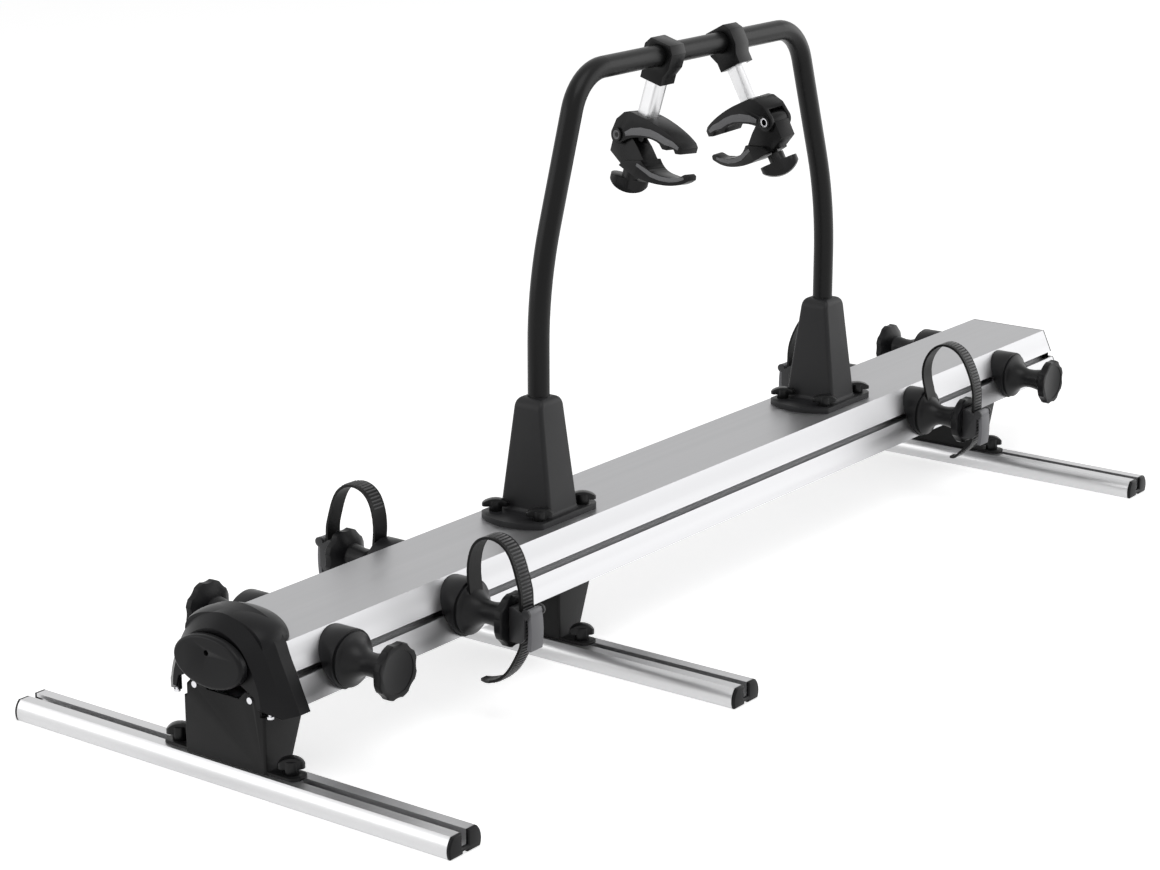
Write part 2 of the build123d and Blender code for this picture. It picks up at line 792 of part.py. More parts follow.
face_x = beam_near - face_lead
ridge_x = beam_near - ridge_lead
skirt_x = beam_near + skirt_length
outer_arches = [
    (face_x, arch_points(face_half, face_low, face_top)),
    (ridge_x, arch_points(ridge_half, ridge_low, ridge_top)),
    (beam_near, skirt_points((ridge_top + skirt_top) / 2)),
    (skirt_x, skirt_points(skirt_top)),
]
void_low = ridge_low - overrun
void_half = beam_half(beam_bottom) - housing_wall
inner_arches = [
    (face_x + housing_wall, arch_points(face_half - housing_wall, void_low, face_top - housing_wall)),
    (ridge_x + housing_wall / 2, arch_points(ridge_half - housing_wall, void_low, ridge_top - housing_wall)),
    (beam_near, arch_points(void_half, void_low, ridge_top - housing_wall)),
]


def arched_form(arches):
    """A solid through a row of arches, with straight faces between them."""
    with BuildPart() as form:
        for x, points in arches:
            with BuildSketch(Plane.YZ.offset(x)):
                with BuildLine():
                    arch = Spline(*points)
                    Line(arch @ 1, arch @ 0)
                make_face()
        loft(ruled=True)
    return form.part


def dome_form(inset, start):
    """The rounded dome, shrunk by an inset and kept from the given X onwards."""
    with BuildPart() as form:
        Sphere(1)
        scale(by=(dome_length - inset, dome_half - inset, dome_height - inset))
        with Locations((start - dome_x + dome_length, 0, 0)):
            Box(2 * dome_length, 2 * dome_half, 2 * dome_height, mode=Mode.INTERSECT)
    return form.part.moved(Location((dome_x, 0, beam_top)))


dome_x = beam_near + dome_centre
outer_form = arched_form(outer_arches)
handle_back = beam_near - handle_reach + handle_depth

# Ribs that carry the handle's pin and bosses for the leg screws, all kept inside the outer form
leg_x = beam_near - leg_screw_setback
with BuildPart() as housing_ribs:
    for side in (-1, 1):
        rib_plane = Plane(origin=(pivot_x, side * rib_start, pivot_height), x_dir=(1, 0, 0), z_dir=(0, side, 0))
        with BuildSketch(rib_plane):
            Circle(pivot_hub_radius)
        extrude(amount=rib_width)
        with BuildSketch(Plane.XY.offset(pivot_height)):
            with Locations((pivot_x, side * (rib_start + rib_width / 2))):
                Rectangle(2 * pivot_hub_radius, rib_width)
        extrude(amount=ridge_top - pivot_height)
        with BuildSketch(Plane.XY.offset(leg_boss_low)):
            with Locations((leg_x, side * leg_screw_y)):
                Circle(leg_boss_radius)
        extrude(amount=leg_boss_high - leg_boss_low)
    add(outer_form, mode=Mode.INTERSECT)

with BuildPart() as housing:
    add(outer_form)
    add(dome_form(0, ridge_x))
    with BuildSketch(Plane.YZ.offset(beam_near)):
        with BuildLine():
            Polyline(
                (beam_top_width / 2 + running_gap, beam_top),
                (beam_half(void_low) + running_gap, void_low),
                (-beam_half(void_low) - running_gap, void_low),
                (-beam_top_width / 2 - running_gap, beam_top),
                close=True,
            )
        make_face()
    extrude(amount=dome_length + dome_centre + overrun, mode=Mode.SUBTRACT)
    add(dome_form(housing_wall, beam_near), mode=Mode.SUBTRACT)
    add(arched_form(inner_arches), mode=Mode.SUBTRACT)
    with BuildSketch(Plane.YZ.offset(face_x - overrun)):
        with BuildLine():
            Polyline(
                (door_base_half, void_low),
                (door_mid_half, door_mid_height),
                (door_top_half, door_top_height),
                (-door_top_half, door_top_height),
                (-door_mid_half, door_mid_height),
                (-door_base_half, void_low),
                close=True,
            )
        make_face()
        with Locations((0, (hinge_window_low + hinge_window_high) / 2)):
            Rectangle(2 * hinge_window_half, hinge_window_high - hinge_window_low)
    extrude(amount=housing_wall + overrun, mode=Mode.SUBTRACT)
    add(housing_ribs.part)
    with BuildSketch(Plane.XZ):
        with Locations((pivot_x, pivot_height)):
            Circle(pivot_pin_radius)
    extrude(amount=rib_start + rib_width, both=True, mode=Mode.SUBTRACT)
    with BuildSketch(Plane.XY.offset(leg_boss_low)):
        with Locations((leg_x, leg_screw_y), (leg_x, -leg_screw_y)):
            Circle(leg_screw_radius)
    extrude(amount=leg_screw_length, mode=Mode.SUBTRACT)
write(housing, "housing")

# The handle's pin and two screws from below into the legs
with BuildPart() as housing_fasteners:
    with BuildSketch(Plane.XZ):
        with Locations((pivot_x, pivot_height)):
            Circle(pivot_pin_radius)
    extrude(amount=pivot_pin_half, both=True)
    with BuildSketch(Plane.XY.offset(leg_boss_low)):
        with Locations((leg_x, leg_screw_y), (leg_x, -leg_screw_y)):
            Circle(leg_screw_radius)
    extrude(amount=leg_screw_length)
    with BuildSketch(Plane.XY.offset(leg_boss_low - leg_screw_head_height)):
        with Locations((leg_x, leg_screw_y), (leg_x, -leg_screw_y)):
            Circle(leg_screw_head_radius)
    extrude(amount=leg_screw_head_height)
write(housing_fasteners, "housing_fasteners")

# Release handle: an oval paddle on two lugs that turn on the pin
with BuildPart() as release_handle:
    with BuildSketch(Plane.YZ.offset(handle_back)):
        with Locations((0, handle_centre)):
            Ellipse(handle_width / 2, handle_height / 2)
    extrude(amount=-handle_depth)
    fillet(release_handle.faces().sort_by(Axis.X)[0].edges(), handle_round)
    with BuildSketch(Plane.YZ.offset(handle_back - handle_depth)):
        with Locations((0, handle_centre + key_hole_rise)):
            Circle(key_hole_radius)
    extrude(amount=key_hole_depth, mode=Mode.SUBTRACT)
    with BuildSketch(Plane.XZ.offset(lug_start)):
        with Locations((pivot_x, pivot_height)):
            Circle(pivot_hub_radius)
        with BuildLine():
            Polyline(
                (handle_back - lug_root, pivot_height - lug_low_drop),
                (pivot_x, pivot_height - pivot_hub_radius),
                (pivot_x, pivot_height),
                (pivot_x - lug_hub_lead, pivot_height - lug_hub_drop),
                (handle_back - lug_root, pivot_height - lug_high_drop),
                close=True,
            )
        make_face()
        with Locations((pivot_x, pivot_height)):
            Circle(pivot_pin_radius + running_gap, mode=Mode.SUBTRACT)
    extrude(amount=lug_width)
    mirror(about=Plane.XZ)
write(release_handle, "release_handle")


def below_pivot(reach, angle):
    """A point at a reach from the handle's pivot, at an angle down from level."""
    return (pivot_x + reach * cos(radians(angle)), pivot_height - reach * sin(radians(angle)))


# Latch hook: two arms down from the pivot, each with a tooth behind the strike pin
tooth_inner = strike_reach + strike_pin_radius + hook_clearance
tooth_outer = tooth_inner + hook_tooth
arm_direction = (hook_arm_angle + hook_low_angle) / 2
arm_side_x = hook_arm_half * sin(radians(arm_direction))
arm_side_z = hook_arm_half * cos(radians(arm_direction))
with BuildPart() as latch_hook:
    with BuildSketch(Plane.XZ.offset(hook_half - hook_plate)):
        with Locations((pivot_x, pivot_height)):
            Circle(tooth_outer)
            Circle(tooth_inner, mode=Mode.SUBTRACT)
        with BuildLine():
            Polyline(
                (pivot_x, pivot_height),
                below_pivot(2 * tooth_outer, hook_top_angle),
                below_pivot(2 * tooth_outer, hook_low_angle),
                close=True,
            )
        make_face(mode=Mode.INTERSECT)
        with BuildLine():
            Polyline(
                (pivot_x + arm_side_x, pivot_height + arm_side_z),
                below_pivot((tooth_inner + tooth_outer) / 2, hook_arm_angle),
                below_pivot((tooth_inner + tooth_outer) / 2, hook_low_angle),
                (pivot_x - arm_side_x, pivot_height - arm_side_z),
                close=True,
            )
        make_face()
        with Locations((pivot_x, pivot_height)):
            Circle(pivot_hub_radius)
            Circle(pivot_pin_radius + running_gap, mode=Mode.SUBTRACT)
    extrude(amount=hook_plate)
    with BuildSketch(Plane.XZ.offset(hook_half)):
        with Locations((pivot_x, pivot_height)):
            Circle(pivot_hub_radius)
            Circle(pivot_pin_radius + running_gap, mode=Mode.SUBTRACT)
    extrude(amount=lug_start - hook_half)
    mirror(about=Plane.XZ)
write(latch_hook, "latch_hook")

# Hoop of bent tube
with BuildPart() as hoop:
    with BuildLine(Plane.XZ) as hoop_line:
        FilletPolyline(
            (hoop_x - hoop_half, hoop_foot_height),
            (hoop_x - hoop_half, hoop_bow_height),
            (hoop_x - hoop_shoulder_half, hoop_top),
            (hoop_x + hoop_shoulder_half, hoop_top),
            (hoop_x + hoop_half, hoop_bow_height),
            (hoop_x + hoop_half, hoop_foot_height),
            radius=[hoop_bow_radius, hoop_corner_radius, hoop_corner_radius, hoop_bow_radius],
        )
    with BuildSketch(Plane.XY.offset(hoop_foot_height)):
        with Locations((hoop_x - hoop_half, 0)):
            Circle(tube_radius)
            Circle(tube_radius - tube_wall, mode=Mode.SUBTRACT)
    sweep(path=hoop_line.line)
write(hoop, "hoop")


def tower_outline(base, top, corner):
    """Outline of the tower's side or end: narrower at the top, with rounded shoulders."""
    with BuildSketch() as outline:
        with BuildLine():
            Polyline(
                (-base / 2, beam_top + plate_thickness),
                (-top / 2, tower_top),
                (top / 2, tower_top),
                (base / 2, beam_top + plate_thickness),
                close=True,
            )
        make_face()
        fillet(outline.vertices().group_by(Axis.Y)[-1], corner)
    return outline.sketch


def pedestal(x):
    """A plate with bowed ends and a tapered tower that holds one end of the hoop."""
    plate_top = beam_top + plate_thickness
    half_length = plate_length / 2
    half_width = plate_width / 2
    with BuildPart() as piece:
        with BuildSketch(Plane.XZ):
            add(tower_outline(tower_base_length, tower_top_length, tower_end_round))
        extrude(amount=tower_base_width, both=True)
        with BuildSketch(Plane.YZ):
            add(tower_outline(tower_base_width, tower_top_width, tower_side_round))
        extrude(amount=tower_base_length, both=True, mode=Mode.INTERSECT)
        corners = [edge for edge in piece.edges()
                   if min(abs(edge.center().X), abs(edge.center().Y)) > tower_corner_round]
        fillet(corners, tower_corner_round)
        with BuildSketch(Plane.XY.offset(beam_top)) as plate:
            with BuildLine():
                Line((-half_length, half_width), (half_length, half_width))
                ThreePointArc((half_length, half_width), (half_length + plate_bow, 0), (half_length, -half_width))
                Line((half_length, -half_width), (-half_length, -half_width))
                ThreePointArc((-half_length, -half_width), (-half_length - plate_bow, 0), (-half_length, half_width))
            make_face()
            fillet(plate.vertices(), plate_corner)
        extrude(amount=plate_thickness)
        level_edges = piece.edges().filter_by_position(Axis.Z, plate_top - running_gap, plate_top + running_gap)
        root_edges = [edge for edge in level_edges
                      if abs(edge.center().X) < (tower_base_length + plate_length) / 4
                      and abs(edge.center().Y) < (tower_base_width + plate_width) / 4]
        fillet(root_edges, tower_root_round)
        with BuildSketch(Plane.XY.offset(tower_top)):
            Circle(tube_radius)
        extrude(amount=hoop_foot_height - tower_top, mode=Mode.SUBTRACT)
        with BuildSketch(Plane.XY.offset(beam_top)):
            with GridLocations(2 * pedestal_bolt_x, 2 * pedestal_bolt_y, 2, 2):
                Circle(bolt_radius)
        extrude(amount=plate_thickness, mode=Mode.SUBTRACT)
    return piece.part.moved(Location((x, 0, 0)))


for name, x in zip(("front_pedestal", "rear_pedestal"), pedestal_places):
    pedestal_part = pedestal(x)
    with BuildPart() as pedestal_piece:
        add(pedestal_part)
    write(pedestal_piece, name)

# Bolts up through the beam's top and the plates, and the knobs on them
with BuildPart() as pedestal_bolts:
    with BuildSketch(Plane.XY.offset(beam_top - beam_wall - bolt_head_height)):
        with Locations(*pedestal_bolt_spots):
            Circle(bolt_head_radius)
    extrude(amount=bolt_head_height)
    with BuildSketch(Plane.XY.offset(beam_top - beam_wall)):
        with Locations(*pedestal_bolt_spots):
            Circle(bolt_radius)
    extrude(amount=beam_wall + plate_thickness + pedestal_bolt_rise)
write(pedestal_bolts, "pedestal_bolts")

pedestal_knob_part = wing_knob(
    pedestal_knob_span, pedestal_knob_width, pedestal_knob_height, pedestal_knob_hub, pedestal_bolt_rise + soft_gap
)
with BuildPart() as pedestal_knobs:
    for x, y in pedestal_bolt_spots:
        with Locations(Location((x, y, beam_top + plate_thickness), (0, 0, knob_turn))):
            add(pedestal_knob_part)
write(pedestal_knobs, "pedestal_knobs")


# Wheel spools: each of a wedge collar, a cone, a T-bolt and a lobed knob, made for the +Y side and
# turned about Z for the other
right_spool_x = [*right_near_reach, *[beam_length - reach for reach in right_far_reach]]
left_spool_x = [*left_near_reach, *[beam_length - reach for reach in left_far_reach]]
spool_places = [(x, -1, has_strap) for x, has_strap in zip(right_spool_x, strapped)]
spool_places += [(x, 1, has_strap) for x, has_strap in zip(left_spool_x, strapped)]


def spool_location(x, side):
    """Where a part made for the +Y side goes, for a spool on the given side."""
    return Location((beam_near + x, 0, slot_middle), (0, 0, 0 if side > 0 else 180))


def outward_plane(y):
    """A plane across the spool's axis at the given reach, facing outwards."""
    return Plane(origin=(0, y, 0), x_dir=(1, 0, 0), z_dir=(0, 1, 0))


with BuildPart() as collar:
    with BuildSketch(outward_plane(pocket_inner_half)):
        Circle(collar_radius)
        Circle(bolt_radius, mode=Mode.SUBTRACT)
    extrude(amount=collar_face - pocket_inner_half)
    with BuildSketch(Plane.YZ):
        with BuildLine():
            Polyline(
                (0, beam_top - slot_middle + overrun),
                (beam_half(beam_top + overrun), beam_top - slot_middle + overrun),
                (beam_half(beam_bottom - overrun), beam_bottom - slot_middle - overrun),
                (0, beam_bottom - slot_middle - overrun),
                close=True,
            )
        make_face()
    extrude(amount=collar_radius + overrun, both=True, mode=Mode.SUBTRACT)

with BuildPart() as cone:
    with BuildSketch(Plane.YZ):
        with BuildLine():
            Polyline(
                (collar_face, bolt_radius), (collar_face, cone_radius), (collar_face + cone_rim, cone_radius)
            )
            ThreePointArc(
                (collar_face + cone_rim, cone_radius),
                ((collar_face + waist_start) / 2, (cone_radius + waist_radius) / 2 - cone_rim),
                (waist_start, waist_radius),
            )
            Polyline(
                (waist_start, waist_radius),
                (waist_end, waist_radius),
                (cone_end, cone_end_radius),
                (cone_end, bolt_radius),
                (collar_face, bolt_radius),
            )
        make_face()
    revolve(axis=Axis.Y)

with BuildPart() as spool_collars:
    for x, side, has_strap in spool_places:
        with Locations(spool_location(x, side)):
            add(collar.part)
write(spool_collars, "spool_collars")

# Straps: each a flat band up from its cone, over the knob, down through the buckle and on to a narrowed
# tail; the near ones are pulled tighter than the far ones
strap_root = strap_root_height - slot_middle


def strap_band(loop_shares, tail_shares):
    """A strap as a band along its loop and tail, for a spool on the +Y side."""
    loop = [(strap_root_reach + strap_span * y, strap_root + strap_span * z) for y, z in loop_shares]
    tail = [(strap_root_reach + strap_span * y, strap_root + strap_span * z) for y, z in tail_shares]
    tip_reach = tail[-1][0]
    with BuildPart() as band:
        with BuildSketch(Plane.YZ):
            with BuildLine():
                Spline(*loop, tangents=((0, 1), (0, -1)))
                Line(loop[-1], tail[0])
                Spline(*tail, tangents=((0, -1), (-1, 0)))
            trace(line_width=strap_thickness)
        extrude(amount=strap_width / 2, both=True)
        with BuildSketch(Plane.XY.offset(tail[-1][1] - strap_thickness)):
            with BuildLine():
                Polyline(
                    (strap_width / 2, tip_reach + strap_tail_taper),
                    (strap_width, tip_reach + strap_tail_taper),
                    (strap_width, tip_reach - strap_thickness),
                    (strap_tip_width / 2, tip_reach - strap_thickness),
                    close=True,
                )
            make_face()
            mirror(about=Plane.YZ)
        extrude(amount=strap_tail_taper, mode=Mode.SUBTRACT)
    return band.part


near_strap = strap_band(low_loop_shares, low_tail_shares)
far_strap = strap_band(high_loop_shares, high_tail_shares)
spool_straps = [None, near_strap, far_strap, None] * 2
with BuildPart() as straps:
    for (x, side, has_strap), band in zip(spool_places, spool_straps):
        if has_strap:
            with Locations(spool_location(x, side)):
                add(band)
write(straps, "straps")

with BuildPart() as spool_cones:
    for (x, side, has_strap), band in zip(spool_places, spool_straps):
        with BuildPart(mode=Mode.PRIVATE) as fitted_cone:
            add(cone.part)
            if has_strap:
                add(band, mode=Mode.SUBTRACT)
        with Locations(spool_location(x, side)):
            add(fitted_cone.part)
write(spool_cones, "spool_cones")

# T-bolts with square heads inside the beam's slots; those that carry a buckle are longer
knob_face = cone_end + spool_knob_depth
head_face = beam_half(slot_middle + spool_head_width / 2) - side_wall - soft_gap
plain_bolt_tip = knob_face - spool_face_skin
buckle_bolt_tip = knob_face + spool_face_skin


def spool_bolt(tip):
    """A bolt with a square head, out to the given reach."""
    with BuildPart() as bolt:
        with BuildSketch(outward_plane(head_face - spool_head_depth)):
            Rectangle(spool_head_width, spool_head_width)
        extrude(amount=spool_head_depth)
        with BuildSketch(outward_plane(head_face)):
            Circle(bolt_radius)
        extrude(amount=tip - head_face)
    return bolt.part


plain_bolt = spool_bolt(plain_bolt_tip)
buckle_bolt = spool_bolt(buckle_bolt_tip)
with BuildPart() as spool_bolts:
    for x, side, has_strap in spool_places:
        with Locations(spool_location(x, side)):
            add(buckle_bolt if has_strap else plain_bolt)
write(spool_bolts, "spool_bolts")


def spool_knob(bore_depth):
    """A round knob with scalloped rim, rounded edges and a shallow recess in its face."""
    with BuildPart() as knob:
        with BuildSketch(outward_plane(cone_end)) as rim:
            Circle(spool_knob_radius)
            with PolarLocations(spool_knob_radius + scallop_radius - scallop_depth, scallop_count):
                Circle(scallop_radius, mode=Mode.SUBTRACT)
            fillet(rim.vertices(), scallop_corner)
        extrude(amount=spool_knob_depth)
        chamfer(knob.faces().sort_by(Axis.Y)[-1].edges(), knob_chamfer)
        with BuildSketch(Plane.YZ):
            with BuildLine():
                Polyline(
                    (cone_end, 0),
                    (cone_end, cone_end_radius),
                    (cone_end + spool_knob_flare, spool_knob_radius),
                    (cone_end + 2 * spool_knob_flare, 2 * spool_knob_radius - cone_end_radius),
                    (cone_end + 2 * spool_knob_flare, 0),
                    close=True,
                )
            make_face()
        revolve(axis=Axis.Y, mode=Mode.INTERSECT)
        with BuildSketch(outward_plane(knob_face - knob_face_depth)):
            Circle(knob_face_radius)
        extrude(amount=knob_face_depth, mode=Mode.SUBTRACT)
        with BuildSketch(outward_plane(cone_end)):
            Circle(bolt_radius + running_gap)
        extrude(amount=bore_depth, mode=Mode.SUBTRACT)
    return knob.part


plain_knob = spool_knob(plain_bolt_tip - cone_end + soft_gap)
buckle_knob = spool_knob(spool_knob_depth)
spool_names = ["spool_knob_right_" + letter for letter in "abcd"] + ["spool_knob_left_" + letter for letter in "abcd"]
for name, (x, side, has_strap) in zip(spool_names, spool_places):
    with BuildPart() as spool_knob_piece:
        with Locations(spool_location(x, side)):
            add(buckle_knob if has_strap else plain_knob)
    write(spool_knob_piece, name)

# Buckles: a base on the knob's bolt, a channel for the strap between two walls, and a lever
buckle_inner = knob_face + buckle_slack
channel_start = strap_root_reach + strap_span - strap_thickness / 2 - buckle_slack
channel_width = strap_width + 2 * buckle_slack
lever_pin = (lever_pin_reach, lever_pin_height - slot_middle)
with BuildPart() as buckle:
    with BuildSketch(Plane.YZ):
        with BuildLine():
            Polyline(
                (buckle_inner, buckle_low - slot_middle),
                (buckle_outer - buckle_corner, buckle_low - slot_middle),
                (buckle_outer, buckle_low + buckle_corner - slot_middle),
                (buckle_outer, buckle_top - buckle_slant_drop - slot_middle),
                (buckle_inner + buckle_slant_start, buckle_top - slot_middle),
                (buckle_inner, buckle_top - slot_middle),
                close=True,
            )
        make_face()
        with Locations(lever_pin):
            Circle(ear_radius)
    extrude(amount=buckle_width / 2, both=True)
    with BuildSketch(Plane.XY.offset(buckle_low - slot_middle - overrun)):
        with Locations((0, (channel_start + lever_pin_reach + ear_radius + overrun) / 2)):
            Rectangle(channel_width, lever_pin_reach + ear_radius + overrun - channel_start)
    extrude(amount=buckle_top - buckle_low + 2 * overrun, mode=Mode.SUBTRACT)
    with BuildSketch(outward_plane(buckle_inner)):
        Circle(bolt_radius)
    extrude(amount=buckle_bolt_tip - buckle_inner, mode=Mode.SUBTRACT)
    with BuildSketch(Plane.YZ):
        with Locations(lever_pin):
            Circle(lever_pin_radius)
    extrude(amount=buckle_width / 2, both=True)
with BuildPart() as buckle_bodies:
    for x, side, has_strap in spool_places:
        if has_strap:
            with Locations(spool_location(x, side)):
                add(buckle.part)
write(buckle_bodies, "buckle_bodies")

lever_line = [(y, z - slot_middle) for y, z in (lever_top, lever_middle, lever_low)]
with BuildPart() as lever:
    with BuildSketch(Plane.YZ):
        with BuildLine():
            ThreePointArc(*lever_line)
        trace(line_width=lever_thickness)
        with Locations(lever_pin):
            Circle(lever_hub_radius)
            Circle(lever_pin_radius + running_gap, mode=Mode.SUBTRACT)
    extrude(amount=lever_width / 2, both=True)
strap_spools = [spool for spool in spool_places if spool[2]]
lever_names = ["buckle_lever_right_b", "buckle_lever_right_c", "buckle_lever_left_b", "buckle_lever_left_c"]
for name, (x, side, has_strap) in zip(lever_names, strap_spools):
    with BuildPart() as lever_piece:
        with Locations(spool_location(x, side)):
            add(lever.part)
    write(lever_piece, name)


# Arms: a clamp on the hoop, a tube down to a claw, and a jaw that a knob draws up
jaw_knob_part = wing_knob(jaw_knob_span, jaw_knob_width, jaw_knob_height, jaw_knob_hub, 0)


def sized(shares):
    """Points of an outline from shares of the claw's reach."""
    return [(claw_reach * u, claw_reach * a) for u, a in shares]


def tapered_plan(start_share, tip_half):
    """Closed plan of a claw or jaw: full width up to a share of the reach, then narrower to the tip."""
    with BuildLine() as plan:
        Polyline(
            (-claw_reach, claw_half),
            (claw_reach * start_share, claw_half),
            (claw_reach, tip_half),
            (claw_reach + overrun, tip_half),
            (claw_reach + overrun, -tip_half),
            (claw_reach, -tip_half),
            (claw_reach * start_share, -claw_half),
            (-claw_reach, -claw_half),
            close=True,
        )
    return plan.line


pivot = (claw_reach * pivot_shares[0], claw_reach * pivot_shares[1])
boss_radius = claw_reach * boss_share
jaw_boss_radius = claw_reach * jaw_boss_share
screw_u = claw_reach * screw_share
tube_length = arm_drop - neck_drop
for arm_name, (place, lean, turn) in arm_places.items():
    bar_point = (hoop_x + place, 0, hoop_top)
    up = (0, -sin(radians(lean)), cos(radians(lean)))
    side = (0, cos(radians(lean)), sin(radians(lean)))
    forward = (
        cos(radians(turn)),
        sin(radians(turn)) * side[1],
        sin(radians(turn)) * side[2],
    )
    across = (-sin(radians(turn)), cos(radians(turn)) * side[1], cos(radians(turn)) * side[2])
    stub_foot = tuple(point - arm_drop * step for point, step in zip(bar_point, up))
    bar_plane = Plane(origin=bar_point, x_dir=side, z_dir=(1, 0, 0))
    claw_plane = Plane(origin=stub_foot, x_dir=forward, z_dir=tuple(-step for step in across))
    tube_plane = Plane(origin=stub_foot, x_dir=forward, z_dir=up)

    # Clamp around the hoop's top bar
    with BuildPart() as clamp:
        with BuildSketch(bar_plane):
            with BuildLine():
                Polyline(
                    (-clamp_cap_half, clamp_rise),
                    (clamp_cap_half, clamp_rise),
                    (clamp_half, clamp_shoulder_rise),
                    (clamp_half, -clamp_shoulder_drop),
                    (clamp_neck_half, -clamp_waist_drop),
                    (clamp_neck_half, -neck_drop),
                    (-clamp_neck_half, -neck_drop),
                    (-clamp_neck_half, -clamp_waist_drop),
                    (-clamp_half, -clamp_shoulder_drop),
                    (-clamp_half, clamp_shoulder_rise),
                    close=True,
                )
            make_face()
            Circle(tube_radius + running_gap, mode=Mode.SUBTRACT)
        extrude(amount=clamp_length / 2, both=True)
        with BuildSketch(tube_plane.offset(tube_length)):
            Circle(spigot_radius + running_gap)
        extrude(amount=spigot_length + soft_gap, mode=Mode.SUBTRACT)
    write(clamp, arm_name + "_clamp")

    # Tube with a round spigot on top, on which the claw turns
    with BuildPart() as tube:
        with BuildSketch(tube_plane.offset(-stub_seat)):
            RectangleRounded(stub_width, stub_depth, stub_round)
        extrude(amount=stub_seat + tube_length)
        with BuildSketch(tube_plane.offset(tube_length)):
            Circle(spigot_radius)
        extrude(amount=spigot_length)
    write(tube, arm_name + "_tube")

    # Claw: a hooked upper arm with a hollow underside and two pivot plates
    with BuildPart() as claw:
        with BuildSketch(claw_plane):
            with BuildLine():
                Polyline(*sized(claw_top_shares + claw_back_shares[:1]))
                Spline(*sized(claw_back_shares))
                Polyline(*sized(claw_back_shares[-1:] + claw_teeth_shares + claw_under_shares[:1]))
                Spline(*sized(claw_under_shares))
                Polyline(*sized(claw_under_shares[-1:] + claw_top_shares[:1]))
            make_face()
            with Locations(pivot):
                Circle(boss_radius)
        extrude(amount=claw_half, both=True)
        with BuildSketch(tube_plane):
            with BuildLine():
                add(tapered_plan(claw_taper_share, claw_tip_half))
            make_face()
        extrude(amount=claw_reach, both=True, mode=Mode.INTERSECT)
        with BuildSketch(claw_plane):
            with BuildLine():
                Polyline(*sized(channel_shares), close=True)
            make_face()
        extrude(amount=channel_half, both=True, mode=Mode.SUBTRACT)
        with BuildSketch(tube_plane.offset(-stub_seat)):
            RectangleRounded(stub_width, stub_depth, stub_round)
        extrude(amount=stub_seat + tube_length, mode=Mode.SUBTRACT)
        with BuildSketch(claw_plane):
            with Locations(pivot):
                Circle(jaw_pin_radius)
        extrude(amount=claw_half, both=True, mode=Mode.SUBTRACT)
    write(claw, arm_name + "_claw")

    # Jaw: a narrow heel between the plates and a wide front with an upturned tip
    with BuildPart() as jaw:
        with BuildSketch(claw_plane):
            with BuildLine():
                Polyline(*sized(jaw_rear_shares), close=True)
            make_face()
            with Locations(pivot):
                Circle(jaw_boss_radius)
        extrude(amount=jaw_half, both=True)
        with BuildSketch(claw_plane):
            with BuildLine():
                Spline(*sized(jaw_outer_shares))
                Polyline(*sized(jaw_outer_shares[-1:] + [jaw_step_share] + jaw_inner_shares[:1]))
                Spline(*sized(jaw_inner_shares))
                Polyline(*sized(jaw_inner_shares[-1:] + jaw_outer_shares[:1]))
            make_face()
        extrude(amount=claw_half, both=True)
        with BuildSketch(tube_plane):
            with BuildLine():
                add(tapered_plan(jaw_taper_share, jaw_tip_half))
            make_face()
        extrude(amount=claw_reach, both=True, mode=Mode.INTERSECT)
        with BuildSketch(claw_plane):
            with Locations(pivot):
                Circle(jaw_pin_radius + running_gap)
        extrude(amount=claw_half, both=True, mode=Mode.SUBTRACT)
        with BuildSketch(tube_plane.offset(claw_reach * jaw_knob_share)):
            with Locations((screw_u, 0)):
                Circle(screw_radius + running_gap)
        extrude(amount=claw_reach * (screw_top_share - jaw_knob_share), mode=Mode.SUBTRACT)
    write(jaw, arm_name + "_jaw")

    # Pin through the plates and the jaw, with a round cap on each side
    with BuildPart() as jaw_pin:
        with BuildSketch(claw_plane):
            with Locations(pivot):
                Circle(jaw_pin_radius)
        extrude(amount=claw_half, both=True)
        with BuildSketch(claw_plane.offset(claw_half), claw_plane.offset(-claw_half - pin_cap_width)):
            with Locations(pivot):
                Circle(pin_cap_radius)
        extrude(amount=pin_cap_width)
    write(jaw_pin, arm_name + "_jaw_pin")

    # Winged knob below the jaw, with its screw up through the jaw into the claw's hollow
    knob_shoulder_a = claw_reach * jaw_knob_share
    hub_top_a = claw_reach * jaw_hub_share
    with BuildPart() as jaw_knob:
        with Locations(Location(Plane(origin=tube_plane.from_local_coords((screw_u, 0, hub_top_a)),
                                      x_dir=forward, z_dir=tuple(-step for step in up)))):
            with Locations(Location((0, 0, 0), (0, 0, jaw_knob_turn))):
                add(jaw_knob_part)
        with BuildSketch(tube_plane.offset(hub_top_a)):
            with Locations((screw_u, 0)):
                Circle(screw_radius)
        extrude(amount=claw_reach * screw_top_share - hub_top_a)
    write(jaw_knob, arm_name + "_jaw_knob")
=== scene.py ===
import json
import math

import bpy
from mathutils import Matrix, Vector


